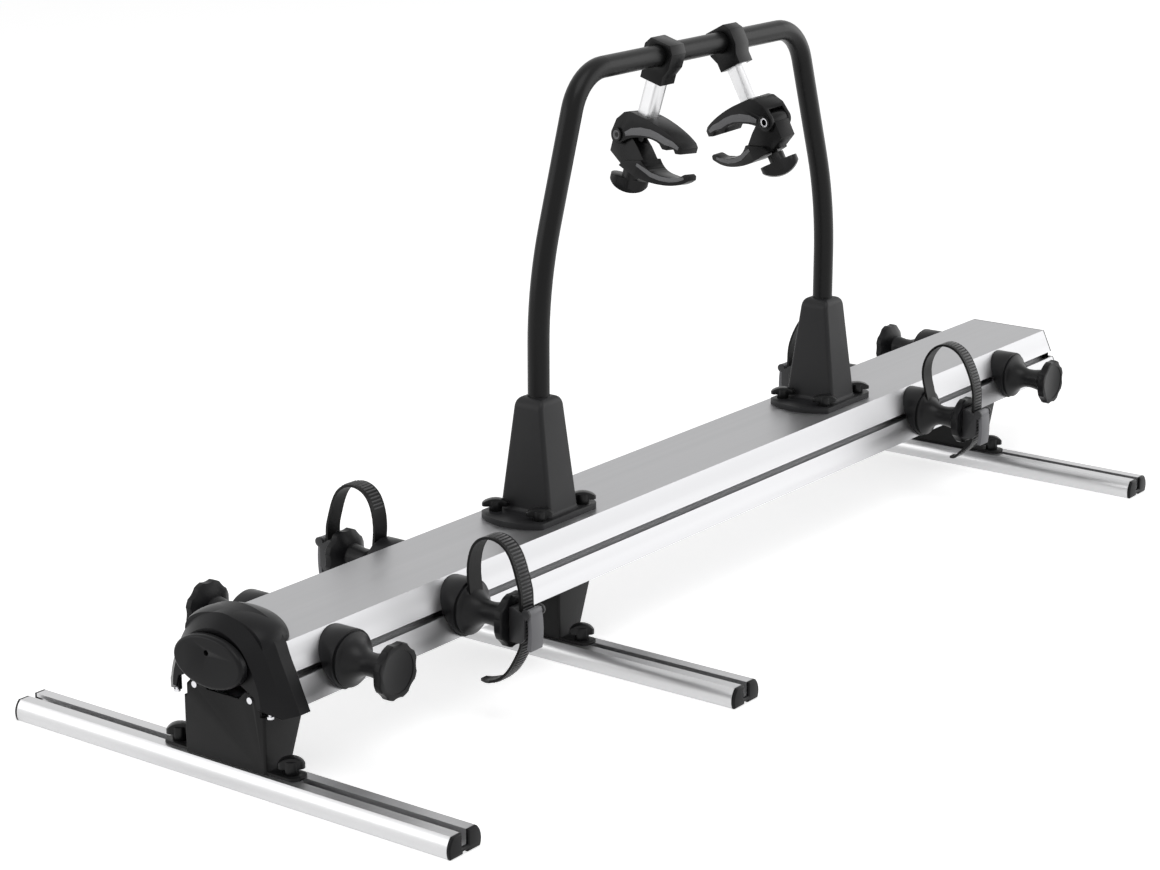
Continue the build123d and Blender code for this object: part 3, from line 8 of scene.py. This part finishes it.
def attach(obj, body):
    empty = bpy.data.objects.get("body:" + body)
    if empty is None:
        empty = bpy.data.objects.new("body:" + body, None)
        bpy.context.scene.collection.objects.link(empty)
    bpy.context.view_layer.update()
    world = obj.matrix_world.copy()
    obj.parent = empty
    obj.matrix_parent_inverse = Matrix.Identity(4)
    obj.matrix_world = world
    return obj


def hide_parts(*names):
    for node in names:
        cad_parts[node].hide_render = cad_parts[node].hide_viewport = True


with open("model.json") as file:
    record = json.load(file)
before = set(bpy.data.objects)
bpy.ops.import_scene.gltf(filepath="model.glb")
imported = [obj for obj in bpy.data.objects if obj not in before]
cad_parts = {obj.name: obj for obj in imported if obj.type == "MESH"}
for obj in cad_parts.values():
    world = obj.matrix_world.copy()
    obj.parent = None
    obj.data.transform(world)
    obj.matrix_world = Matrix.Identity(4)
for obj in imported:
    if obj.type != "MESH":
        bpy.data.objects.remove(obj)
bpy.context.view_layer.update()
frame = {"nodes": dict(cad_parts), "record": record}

bpy.ops.object.select_all(action="DESELECT")

body_of_node = {n: b for b, nodes in frame["record"]["behaviour"]["bodies"].items() for n in nodes}
slot_of_node = {s["node"]: s["material_slot"] for s in frame["record"]["subparts"]}

# Places on the real model, in metres
beam_near = -0.78625
hoop_middle = beam_near + 0.803
hoop_bar_height = 0.648
claw_drop = 0.0754
claw_reach = 0.0895
strap_root = (0.0905, 0.137)
strap_span = 0.068


# Camera at the photograph's viewing angle
view_width_px = 1160
focal_px = 2846.4
lens_data = bpy.data.cameras.new("photo_camera")
lens_data.sensor_width = 36.0
lens_data.lens = lens_data.sensor_width * focal_px / view_width_px
lens_data.clip_end = 60.0
photo_camera = bpy.data.objects.new("photo_camera", lens_data)
bpy.context.scene.collection.objects.link(photo_camera)
photo_camera.location = (-2.7249, -1.8819, 1.1385)
photo_camera.rotation_euler = (math.radians(73.86), 0.0, math.radians(-53.25))
bpy.context.scene.camera = photo_camera
bpy.context.scene.view_settings.view_transform = "Standard"


# Shader helpers

def new_node(tree, kind, **settings):
    """A node of one kind in a tree, with its settings and its plain input values."""
    node = tree.nodes.new(kind)
    for name, value in settings.items():
        if name in node.inputs:
            node.inputs[name].default_value = value
        else:
            setattr(node, name, value)
    return node


def effect_group(name, inputs, outputs):
    """An empty node group with named float inputs and outputs, and its two end nodes."""
    tree = bpy.data.node_groups.new(name, "ShaderNodeTree")
    for label, value in inputs:
        socket = tree.interface.new_socket(name=label, in_out="INPUT", socket_type="NodeSocketFloat")
        socket.default_value = value
    for label in outputs:
        tree.interface.new_socket(name=label, in_out="OUTPUT", socket_type="NodeSocketFloat")
    return tree, tree.nodes.new("NodeGroupInput"), tree.nodes.new("NodeGroupOutput")


def scaled_noise(tree, start, scale_socket, stretch, detail):
    """Noise on object coordinates, squeezed along the axes by a fixed stretch and scaled by a group input."""
    place = new_node(tree, "ShaderNodeTexCoord")
    squeeze = new_node(tree, "ShaderNodeMapping", Scale=stretch)
    noise = new_node(tree, "ShaderNodeTexNoise", Detail=detail, Roughness=0.55)
    tree.links.new(place.outputs["Object"], squeeze.inputs["Vector"])
    tree.links.new(squeeze.outputs["Vector"], noise.inputs["Vector"])
    tree.links.new(start.outputs[scale_socket], noise.inputs["Scale"])
    return noise.outputs["Fac"]


def ramp_between(tree, value, low, high):
    """A value remapped so that its middle part runs from low to high."""
    spread = new_node(tree, "ShaderNodeMapRange")
    spread.inputs["From Min"].default_value = 0.3
    spread.inputs["From Max"].default_value = 0.7
    spread.inputs["To Min"].default_value = low
    spread.inputs["To Max"].default_value = high
    tree.links.new(value, spread.inputs["Value"])
    return spread.outputs["Result"]


def moulded_grain():
    """Fine pebbled skin of a moulding, with a slow cloudiness for its tone."""
    inputs = [("Grain Scale", 900.0), ("Cloud Scale", 14.0)]
    tree, start, end = effect_group("moulded_grain", inputs, ["Height", "Cloud"])
    tree.links.new(scaled_noise(tree, start, "Grain Scale", (1.0, 1.0, 1.0), 2.0), end.inputs["Height"])
    tree.links.new(scaled_noise(tree, start, "Cloud Scale", (1.0, 1.0, 1.0), 3.0), end.inputs["Cloud"])
    return tree


def drawn_metal(name, stretch):
    """Die lines along one axis of an extrusion, and the slow banding beside them."""
    inputs = [("Line Scale", 700.0), ("Band Scale", 60.0)]
    tree, start, end = effect_group(name, inputs, ["Height", "Band"])
    tree.links.new(scaled_noise(tree, start, "Line Scale", stretch, 3.0), end.inputs["Height"])
    tree.links.new(scaled_noise(tree, start, "Band Scale", stretch, 2.0), end.inputs["Band"])
    return tree


grain_group = moulded_grain()
lines_along_beam = drawn_metal("lines_along_beam", (0.01, 1.0, 1.0))
lines_along_rail = drawn_metal("lines_along_rail", (1.0, 0.01, 1.0))


def finish_material(name, color, group, tone_output, swing, roughness, relief, metallic=0.0,
                    specular=0.5, **scales):
    """A finish whose tone, sheen and surface relief all come from one effect group."""
    sheen_swing = 0.05
    material = bpy.data.materials.new(name)
    material.use_nodes = True
    tree = material.node_tree
    shader = tree.nodes["Principled BSDF"]
    effect = new_node(tree, "ShaderNodeGroup", node_tree=group)
    for label, value in scales.items():
        effect.inputs[label.replace("_", " ")].default_value = value
    tone = new_node(tree, "ShaderNodeMix", data_type="RGBA")
    tone.inputs[6].default_value = tuple(c * (1.0 - swing) for c in color) + (1.0,)
    tone.inputs[7].default_value = tuple(c * (1.0 + swing) for c in color) + (1.0,)
    tree.links.new(effect.outputs[tone_output], tone.inputs[0])
    tree.links.new(tone.outputs[2], shader.inputs["Base Color"])
    sheen = ramp_between(tree, effect.outputs[tone_output], roughness - sheen_swing, roughness + sheen_swing)
    tree.links.new(sheen, shader.inputs["Roughness"])
    bump = new_node(tree, "ShaderNodeBump", Strength=1.0, Distance=relief)
    tree.links.new(effect.outputs["Height"], bump.inputs["Height"])
    tree.links.new(bump.outputs["Normal"], shader.inputs["Normal"])
    shader.inputs["Metallic"].default_value = metallic
    shader.inputs["Specular IOR Level"].default_value = specular
    return material


def grey(level, blue=1.03):
    """A grey of one level, with its blue a little stronger or weaker."""
    return (level, level, level * blue)


beam_metal = finish_material("beam_metal", grey(0.42, 1.02), lines_along_beam, "Band", 0.03, 0.40, 0.00002,
                             metallic=1.0)
rail_metal = finish_material("rail_metal", grey(0.60, 1.01), lines_along_rail, "Band", 0.04, 0.34, 0.00002,
                             metallic=1.0)
tube_metal = finish_material("tube_metal", grey(0.74, 1.01), grain_group, "Cloud", 0.05, 0.36, 0.00002, metallic=1.0)
zinc_metal = finish_material("zinc_metal", grey(0.70), grain_group, "Cloud", 0.10, 0.28, 0.00002, metallic=1.0,
                             Cloud_Scale=180.0)
steel_coat = finish_material("steel_coat", grey(0.008), grain_group, "Cloud", 0.15, 0.42, 0.00005, specular=0.16,
                             Grain_Scale=420.0)
hoop_coat = finish_material("hoop_coat", grey(0.005), grain_group, "Cloud", 0.15, 0.32, 0.00004, specular=0.18,
                            Grain_Scale=420.0)
shell_plastic = finish_material("shell_plastic", grey(0.006, 1.12), grain_group, "Cloud", 0.12, 0.36, 0.00004,
                                specular=0.16)
tower_plastic = finish_material("tower_plastic", grey(0.011, 1.08), grain_group, "Cloud", 0.12, 0.46, 0.00005,
                                specular=0.26)
spool_plastic = finish_material("spool_plastic", grey(0.009, 1.08), grain_group, "Cloud", 0.12, 0.36, 0.00003,
                                specular=0.20)
claw_plastic = finish_material("claw_plastic", grey(0.005, 1.06), grain_group, "Cloud", 0.12, 0.34, 0.00004,
                               specular=0.16)
knob_plastic = finish_material("knob_plastic", grey(0.006, 1.06), grain_group, "Cloud", 0.15, 0.30, 0.00003,
                               specular=0.22)
buckle_plastic = finish_material("buckle_plastic", grey(0.030, 1.05), grain_group, "Cloud", 0.12, 0.42, 0.00004,
                                 specular=0.32)
strap_plastic = finish_material("strap_plastic", grey(0.006, 1.02), grain_group, "Cloud", 0.15, 0.40, 0.00003,
                                specular=0.18)
# The teeth are the same black plastic as the strap. Their lighter grey is a painted highlight on the tooth tops, and
# their higher specular is real.
tooth_highlight_plastic = finish_material("tooth_highlight_plastic", grey(0.050, 1.02), grain_group, "Cloud", 0.15, 0.34, 0.00003,
                                specular=0.45)
lever_plastic = finish_material("lever_plastic", grey(0.15, 1.06), grain_group, "Cloud", 0.08, 0.42, 0.00004,
                                specular=0.4)
inlay_rubber = finish_material("inlay_rubber", grey(0.17, 1.03), grain_group, "Height", 0.35, 0.62, 0.00010,
                               specular=0.3, Grain_Scale=1300.0)
nylon = finish_material("nylon", grey(0.72, 0.97), grain_group, "Cloud", 0.05, 0.40, 0.00003)

finish_of_slot = {
    "anodised_aluminium": beam_metal,
    "tube_aluminium": tube_metal,
    "black_steel": steel_coat,
    "zinc_steel": zinc_metal,
    "black_plastic": shell_plastic,
    "claw_plastic": claw_plastic,
    "strap_plastic": strap_plastic,
    "lever_plastic": lever_plastic,
    "roller_plastic": nylon,
}
finish_of_node = {
    "front_floor_rail": rail_metal,
    "middle_floor_rail": rail_metal,
    "rear_floor_rail": rail_metal,
    "hoop": hoop_coat,
    "spool_collars": spool_plastic,
    "spool_cones": spool_plastic,
    "front_pedestal": tower_plastic,
    "rear_pedestal": tower_plastic,
    "pedestal_knobs": knob_plastic,
    "front_jaw_knob": knob_plastic,
    "rear_jaw_knob": knob_plastic,
    "buckle_bodies": buckle_plastic,
    "front_jaw_pin": knob_plastic,
    "rear_jaw_pin": knob_plastic,
}


def finish_for(node):
    """The finish of a node: its own, or else the one of its material."""
    if "foot_knob" in node:
        return knob_plastic
    return finish_of_node.get(node, finish_of_slot[slot_of_node[node]])


for node, obj in frame["nodes"].items():
    obj.data.materials.clear()
    obj.data.materials.append(finish_for(node))


# Modelling helpers
merge_distance = 0.00001
flat_angle = math.radians(1.0)
round_crease = math.radians(32.0)
round_segments = 2
cap_share = 0.6


def activate(piece):
    """Make one piece the only selected and active one."""
    bpy.ops.object.select_all(action="DESELECT")
    piece.select_set(True)
    bpy.context.view_layer.objects.active = piece


def inset_largest(piece, steps):
    """Inset the largest flat faces of a piece in steps of a border, a depth and a finish for what is inside."""
    largest = max(face.area for face in piece.data.polygons)
    activate(piece)
    for number, (border, depth, finish) in enumerate(steps):
        piece.data.materials.append(finish)
        if number == 0:
            bpy.ops.object.mode_set(mode="EDIT")
            bpy.ops.mesh.select_mode(type="FACE")
            bpy.ops.mesh.select_all(action="DESELECT")
            bpy.ops.object.mode_set(mode="OBJECT")
            for face in piece.data.polygons:
                face.select = face.area > cap_share * largest
        bpy.ops.object.mode_set(mode="EDIT")
        bpy.ops.mesh.inset(thickness=border, depth=0.0, use_even_offset=False)
        bpy.ops.mesh.inset(thickness=abs(depth), depth=depth)
        piece.active_material_index = number + 1
        bpy.ops.object.material_slot_assign()
        bpy.ops.object.mode_set(mode="OBJECT")


def rounded_copy(node, width, insets=()):
    """A copy of a CAD node with its triangles merged and its edges rounded, standing for the node."""
    activate(frame["nodes"][node])
    bpy.ops.object.duplicate(linked=False)
    piece = bpy.context.view_layer.objects.active
    piece.name = node + "_rounded"
    if piece.data.has_custom_normals:
        bpy.ops.mesh.customdata_custom_splitnormals_clear()
    bpy.ops.object.mode_set(mode="EDIT")
    bpy.ops.mesh.select_all(action="SELECT")
    bpy.ops.mesh.remove_doubles(threshold=merge_distance)
    bpy.ops.mesh.dissolve_limited(angle_limit=flat_angle)
    bpy.ops.object.mode_set(mode="OBJECT")
    if insets:
        inset_largest(piece, insets)
    soften = piece.modifiers.new("soften", "BEVEL")
    soften.width = width
    soften.segments = round_segments
    soften.limit_method = "ANGLE"
    soften.angle_limit = round_crease
    soften.use_clamp_overlap = True
    soften.harden_normals = False
    bpy.ops.object.modifier_apply(modifier="soften")
    bpy.ops.object.shade_smooth_by_angle(angle=round_crease)
    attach(piece, body_of_node[node])
    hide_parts(node)


# Rounded copies of the nodes, each with the width of its rounded edges in metres
edge_widths = {
    "release_handle": 0.0006,
    "front_pedestal": 0.0010,
    "rear_pedestal": 0.0010,
    "front_foot": 0.0005,
    "middle_foot": 0.0005,
    "rear_foot": 0.0005,
    "spool_collars": 0.0010,
    "spool_cones": 0.0008,
    "pedestal_knobs": 0.0010,
    "front_clamp": 0.0014,
    "rear_clamp": 0.0014,
    "front_claw": 0.0012,
    "rear_claw": 0.0012,
    "front_jaw": 0.0012,
    "rear_jaw": 0.0012,
    "front_jaw_knob": 0.0012,
    "rear_jaw_knob": 0.0012,
    "front_jaw_pin": 0.0008,
    "rear_jaw_pin": 0.0008,
    "buckle_bodies": 0.0007,
    "rail_end_caps": 0.0005,
    "far_end_cap": 0.0003,
}
for node in frame["nodes"]:
    if node.startswith("spool_knob"):
        edge_widths[node] = 0.0004
    elif "foot_knob" in node:
        edge_widths[node] = 0.0010
    elif node.startswith("buckle_lever"):
        edge_widths[node] = 0.0007
# Rings in the caps of the jaw pins: border, depth and finish of each step
pin_cap_insets = [(0.0022, -0.0004, zinc_metal), (0.0012, -0.0012, knob_plastic)]
dull_cap_insets = [(0.0022, -0.0004, inlay_rubber), (0.0012, -0.0012, knob_plastic)]
face_insets = {
    "front_jaw_pin": dull_cap_insets,
    "rear_jaw_pin": pin_cap_insets,
}
for node, width in edge_widths.items():
    rounded_copy(node, width, insets=face_insets.get(node, ()))


# Rubber inlays on the sides of the claws and jaws, as bands extruded along each curve
inlay_depth = 0.0012
inlay_round = 0.0004
arm_places = {"front": (-0.060, 16.6, -101.0), "rear": (0.069, -28.5, 79.0)}
arm_frames = {}
for arm, (place, lean, turn) in arm_places.items():
    lean, turn = math.radians(lean), math.radians(turn)
    up = Vector((0.0, -math.sin(lean), math.cos(lean)))
    side = Vector((0.0, math.cos(lean), math.sin(lean)))
    forward = Vector((math.cos(turn), 0.0, 0.0)) + math.sin(turn) * side
    across = up.cross(forward)
    foot = Vector((hoop_middle + place, 0.0, hoop_bar_height)) - claw_drop * up
    arm_frames[arm] = Matrix((
        (forward.x, across.x, up.x, foot.x),
        (forward.y, across.y, up.y, foot.y),
        (forward.z, across.z, up.z, foot.z),
        (0.0, 0.0, 0.0, 1.0),
    ))


def curved_band(name, stations, depth):
    """A band with rounded ends along stations of (x, y, z, half width), thick along Y, made by extrude steps."""
    (x0, y0, z0, w0), (x1, y1, z1, w1) = stations[0], stations[1]
    heading = math.atan2(z1 - z0, x1 - x0)
    bpy.ops.mesh.primitive_cube_add(size=1.0, location=(x0, y0, z0), rotation=(0.0, -heading, 0.0),
                                    scale=(0.0002, depth, 2.0 * w0))
    band = bpy.context.active_object
    band.name = name
    bpy.ops.object.transform_apply(location=True, rotation=True, scale=True)
    bpy.ops.object.mode_set(mode="EDIT")
    bpy.ops.mesh.select_mode(type="FACE")
    bpy.ops.mesh.select_all(action="DESELECT")
    bpy.ops.object.mode_set(mode="OBJECT")
    for face in band.data.polygons:
        face.select = face.normal.x * math.cos(heading) + face.normal.z * math.sin(heading) > 0.9
    bpy.ops.object.mode_set(mode="EDIT")
    for i in range(1, len(stations)):
        xa, ya, za, wa = stations[i - 1]
        xb, yb, zb, wb = stations[i]
        xc, yc, zc, wc = stations[min(i + 1, len(stations) - 1)]
        new_heading = math.atan2(zc - za, xc - xa)
        bpy.ops.mesh.extrude_region_move(TRANSFORM_OT_translate={"value": (xb - xa, yb - ya, zb - za)})
        bpy.ops.transform.rotate(value=new_heading - heading, orient_axis="Y", center_override=(xb, yb, zb))
        bpy.ops.transform.resize(value=(wb / wa, 1.0, wb / wa), center_override=(xb, yb, zb))
        heading = new_heading
    bpy.ops.mesh.select_all(action="SELECT")
    bpy.ops.mesh.normals_make_consistent(inside=False)
    bpy.ops.object.mode_set(mode="OBJECT")
    soften = band.modifiers.new("soften", "BEVEL")
    soften.width = inlay_round
    soften.segments = round_segments
    bpy.ops.object.modifier_apply(modifier="soften")
    bpy.ops.object.shade_smooth_by_angle(angle=math.radians(40.0))
    return band


def side_at(u, taper_start, tip_half, full_half=0.017):
    """Half width of a claw or jaw at a share of its reach."""
    return full_half - max(0.0, (u - taper_start) / (1.0 - taper_start)) * (full_half - tip_half)


# Stations of the bands as shares of the reach: along it, up, and half width
claw_band = [(-0.13, -0.32, 0.028), (-0.03, -0.245, 0.046), (0.12, -0.175, 0.052), (0.28, -0.13, 0.048),
             (0.42, -0.118, 0.046), (0.56, -0.125, 0.046), (0.69, -0.11, 0.036), (0.80, -0.125, 0.022)]
jaw_band = [(0.20, -0.61, 0.020), (0.32, -0.625, 0.026), (0.45, -0.645, 0.030), (0.60, -0.632, 0.030),
            (0.75, -0.592, 0.028), (0.87, -0.535, 0.024), (0.95, -0.478, 0.016)]
for arm, place in arm_frames.items():
    for kind, stations, taper_start, tip_half in (("claw", claw_band, 0.1, 0.0125), ("jaw", jaw_band, 0.2, 0.006)):
        for side_name, side in (("near", -1.0), ("away", 1.0)):
            line = [(claw_reach * u, side * side_at(u, taper_start, tip_half), claw_reach * a, claw_reach * w)
                    for u, a, w in stations]
            band = curved_band("_".join((arm, kind, "inlay", side_name)), line, inlay_depth)
            band.matrix_world = place
            activate(band)
            bpy.ops.object.transform_apply(location=True, rotation=True, scale=True)
            band.data.materials.append(inlay_rubber)
            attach(band, body_of_node[arm + "_" + kind])


# Teeth on the outer side of the straps, from a place on each loop to its tail
def smooth_line(points):
    """Points along a smooth line through the given ones."""
    steps = 24
    padded = [points[0]] + list(points) + [points[-1]]
    line = []
    for i in range(1, len(padded) - 2):
        p0, p1, p2, p3 = padded[i - 1:i + 3]
        for k in range(steps):
            s = k / steps
            line.append(tuple(
                0.5 * (2 * b + (c - a) * s + (2 * a - 5 * b + 4 * c - d) * s * s + (3 * b - a - 3 * c + d) * s ** 3)
                for a, b, c, d in zip(p0, p1, p2, p3)))
    return line + [points[-1]]


def even_places(line, start, pitch):
    """Places and directions at an even pitch along a line, from a start length on."""
    places = []
    travelled = 0.0
    wanted = start
    for (y0, z0), (y1, z1) in zip(line, line[1:]):
        step = math.hypot(y1 - y0, z1 - z0)
        while step > 0.0 and wanted <= travelled + step:
            s = (wanted - travelled) / step
            places.append((y0 + s * (y1 - y0), z0 + s * (z1 - z0), math.atan2(z1 - z0, y1 - y0)))
            wanted += pitch
        travelled += step
    return places


near_line = [(0.0, 0.0), (-0.029, 0.309), (-0.007, 0.662), (0.154, 0.971), (0.419, 1.066), (0.684, 0.971),
             (0.86, 0.706), (0.963, 0.382), (1.0, 0.044), (1.0, -0.2), (1.0, -0.5), (0.949, -0.68), (0.801, -0.95),
             (0.551, -1.21), (0.257, -1.32), (0.14, -1.325)]
far_line = [(0.0, 0.0), (-0.05, 0.265), (-0.12, 0.62), (-0.007, 1.0), (0.287, 1.221), (0.596, 1.147),
            (0.831, 0.853), (0.978, 0.456), (1.0, 0.044), (1.0, -0.2), (1.0, -0.5), (0.904, -0.69), (0.728, -0.86),
            (0.493, -0.985)]
# Each strap: its place along the beam, its side, its line and where along it the teeth start
strap_spools = [
    (0.276, -1, near_line, 0.086),
    (1.233, -1, far_line, 0.100),
    (0.330, 1, near_line, 0.050),
    (1.283, 1, far_line, 0.060),
]
tooth_lift = 0.0016
tooth_pitch = 0.004
tooth_size = (0.0160, 0.0026, 0.0018)
bare_tail_pitches = 4

bpy.ops.mesh.primitive_cube_add(size=1.0, location=(0.0, 0.0, 0.0))
tooth = bpy.context.active_object
tooth.name = "strap_tooth"
tooth.scale = tooth_size
bpy.ops.object.transform_apply(location=False, rotation=False, scale=True)
bpy.ops.object.mode_set(mode="EDIT")
bpy.ops.mesh.select_all(action="DESELECT")
bpy.ops.mesh.select_mode(type="FACE")
bpy.ops.object.mode_set(mode="OBJECT")
for face in tooth.data.polygons:
    face.select = face.normal.z > 0.9
bpy.ops.object.mode_set(mode="EDIT")
bpy.ops.transform.resize(value=(0.94, 0.45, 1.0))
bpy.ops.transform.translate(value=(0.0, 0.0004, 0.0))
bpy.ops.mesh.select_all(action="SELECT")
bpy.ops.mesh.bevel(offset=0.0002, segments=1)
bpy.ops.object.mode_set(mode="OBJECT")
# The teeth take the lighter grey with the painted highlight, not the strap's own black.
tooth.data.materials.append(tooth_highlight_plastic)

teeth = []
for place, side, shares, start in strap_spools:
    line = [(strap_root[0] + strap_span * y, strap_root[1] + strap_span * z) for y, z in shares]
    spots = even_places(smooth_line(line), start, tooth_pitch)[:-bare_tail_pitches]
    for y, z, angle in spots:
        activate(tooth)
        bpy.ops.object.duplicate(linked=False)
        copy = bpy.context.view_layer.objects.active
        copy.location = (beam_near + place, side * (y - tooth_lift * math.sin(angle)),
                         z + tooth_lift * math.cos(angle))
        copy.rotation_euler = (angle if side > 0 else -angle, 0.0, 0.0)
        teeth.append(copy)
bpy.ops.object.select_all(action="DESELECT")
for copy in teeth:
    copy.select_set(True)
bpy.context.view_layer.objects.active = teeth[0]
bpy.ops.object.join()
strap_teeth = bpy.context.view_layer.objects.active
strap_teeth.name = "strap_teeth"
bpy.ops.object.transform_apply(location=True, rotation=True, scale=True)
bpy.ops.object.shade_smooth_by_angle(angle=math.radians(30.0))
activate(tooth)
bpy.ops.object.delete()
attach(strap_teeth, body_of_node["straps"])


# Floor, world and lamps

def seen_directly(tree):
    """A socket that is one for camera, glossy and transmission rays, and nought for the rest."""
    path = tree.nodes.new("ShaderNodeLightPath")
    either = new_node(tree, "ShaderNodeMath", operation="MAXIMUM")
    any_of_three = new_node(tree, "ShaderNodeMath", operation="MAXIMUM")
    tree.links.new(path.outputs["Is Camera Ray"], either.inputs[0])
    tree.links.new(path.outputs["Is Glossy Ray"], either.inputs[1])
    tree.links.new(either.outputs[0], any_of_three.inputs[0])
    tree.links.new(path.outputs["Is Transmission Ray"], any_of_three.inputs[1])
    return any_of_three.outputs[0]


white = (1.0, 1.0, 1.0, 1.0)
black = (0.0, 0.0, 0.0, 1.0)
bpy.ops.mesh.primitive_plane_add(size=40.0, location=(0.0, 0.0, -0.0005))
floor = bpy.context.active_object
floor.name = "floor"
floor_material = bpy.data.materials.new("pale_floor")
floor_material.use_nodes = True
floor_tree = floor_material.node_tree
floor_tree.nodes.clear()
floor_out = floor_tree.nodes.new("ShaderNodeOutputMaterial")
floor_base = new_node(floor_tree, "ShaderNodeBsdfDiffuse", Color=(0.82, 0.82, 0.82, 1.0))
floor_glow = new_node(floor_tree, "ShaderNodeEmission", Color=white, Strength=0.60)
floor_none = new_node(floor_tree, "ShaderNodeEmission", Color=black, Strength=0.0)
floor_pick = floor_tree.nodes.new("ShaderNodeMixShader")
floor_add = floor_tree.nodes.new("ShaderNodeAddShader")
floor_tree.links.new(seen_directly(floor_tree), floor_pick.inputs[0])
floor_tree.links.new(floor_none.outputs[0], floor_pick.inputs[1])
floor_tree.links.new(floor_glow.outputs[0], floor_pick.inputs[2])
floor_tree.links.new(floor_base.outputs[0], floor_add.inputs[0])
floor_tree.links.new(floor_pick.outputs[0], floor_add.inputs[1])
floor_tree.links.new(floor_add.outputs[0], floor_out.inputs["Surface"])
floor.data.materials.append(floor_material)

world = bpy.data.worlds.new("studio")
bpy.context.scene.world = world
world.use_nodes = True
world_tree = world.node_tree
world_tree.nodes.clear()
world_out = world_tree.nodes.new("ShaderNodeOutputWorld")
world_fill = new_node(world_tree, "ShaderNodeBackground", Color=white, Strength=0.40)
world_seen = new_node(world_tree, "ShaderNodeBackground", Color=white, Strength=1.0)
world_pick = world_tree.nodes.new("ShaderNodeMixShader")
world_tree.links.new(seen_directly(world_tree), world_pick.inputs[0])
world_tree.links.new(world_fill.outputs[0], world_pick.inputs[1])
world_tree.links.new(world_seen.outputs[0], world_pick.inputs[2])
world_tree.links.new(world_pick.outputs[0], world_out.inputs["Surface"])


panel_lift = 0.2


def soft_lamp(name, direction, distance, width, height, radiance):
    """A large soft panel in a direction from the object, facing it, with its brightness per area."""
    lamp_data = bpy.data.lights.new(name, "AREA")
    lamp_data.shape = "RECTANGLE"
    lamp_data.size = width
    lamp_data.size_y = height
    lamp_data.energy = radiance * math.pi * width * height
    lamp = bpy.data.objects.new(name, lamp_data)
    bpy.context.scene.collection.objects.link(lamp)
    length = math.sqrt(sum(c * c for c in direction))
    lamp.location = [c / length * distance for c in direction]
    lamp.location.z += panel_lift
    lamp.rotation_euler = (-lamp.location).to_track_quat("-Z", "Y").to_euler()


soft_lamp("right_panel", (0.77, -0.587, 0.27), distance=5.0, width=6.5, height=3.2, radiance=1.5)
soft_lamp("left_panel", (-0.77, 0.575, 0.30), distance=5.0, width=4.0, height=2.4, radiance=1.4)
soft_lamp("top_panel", (-0.3, -0.4, 1.0), distance=4.5, width=3.0, height=3.0, radiance=2.2)
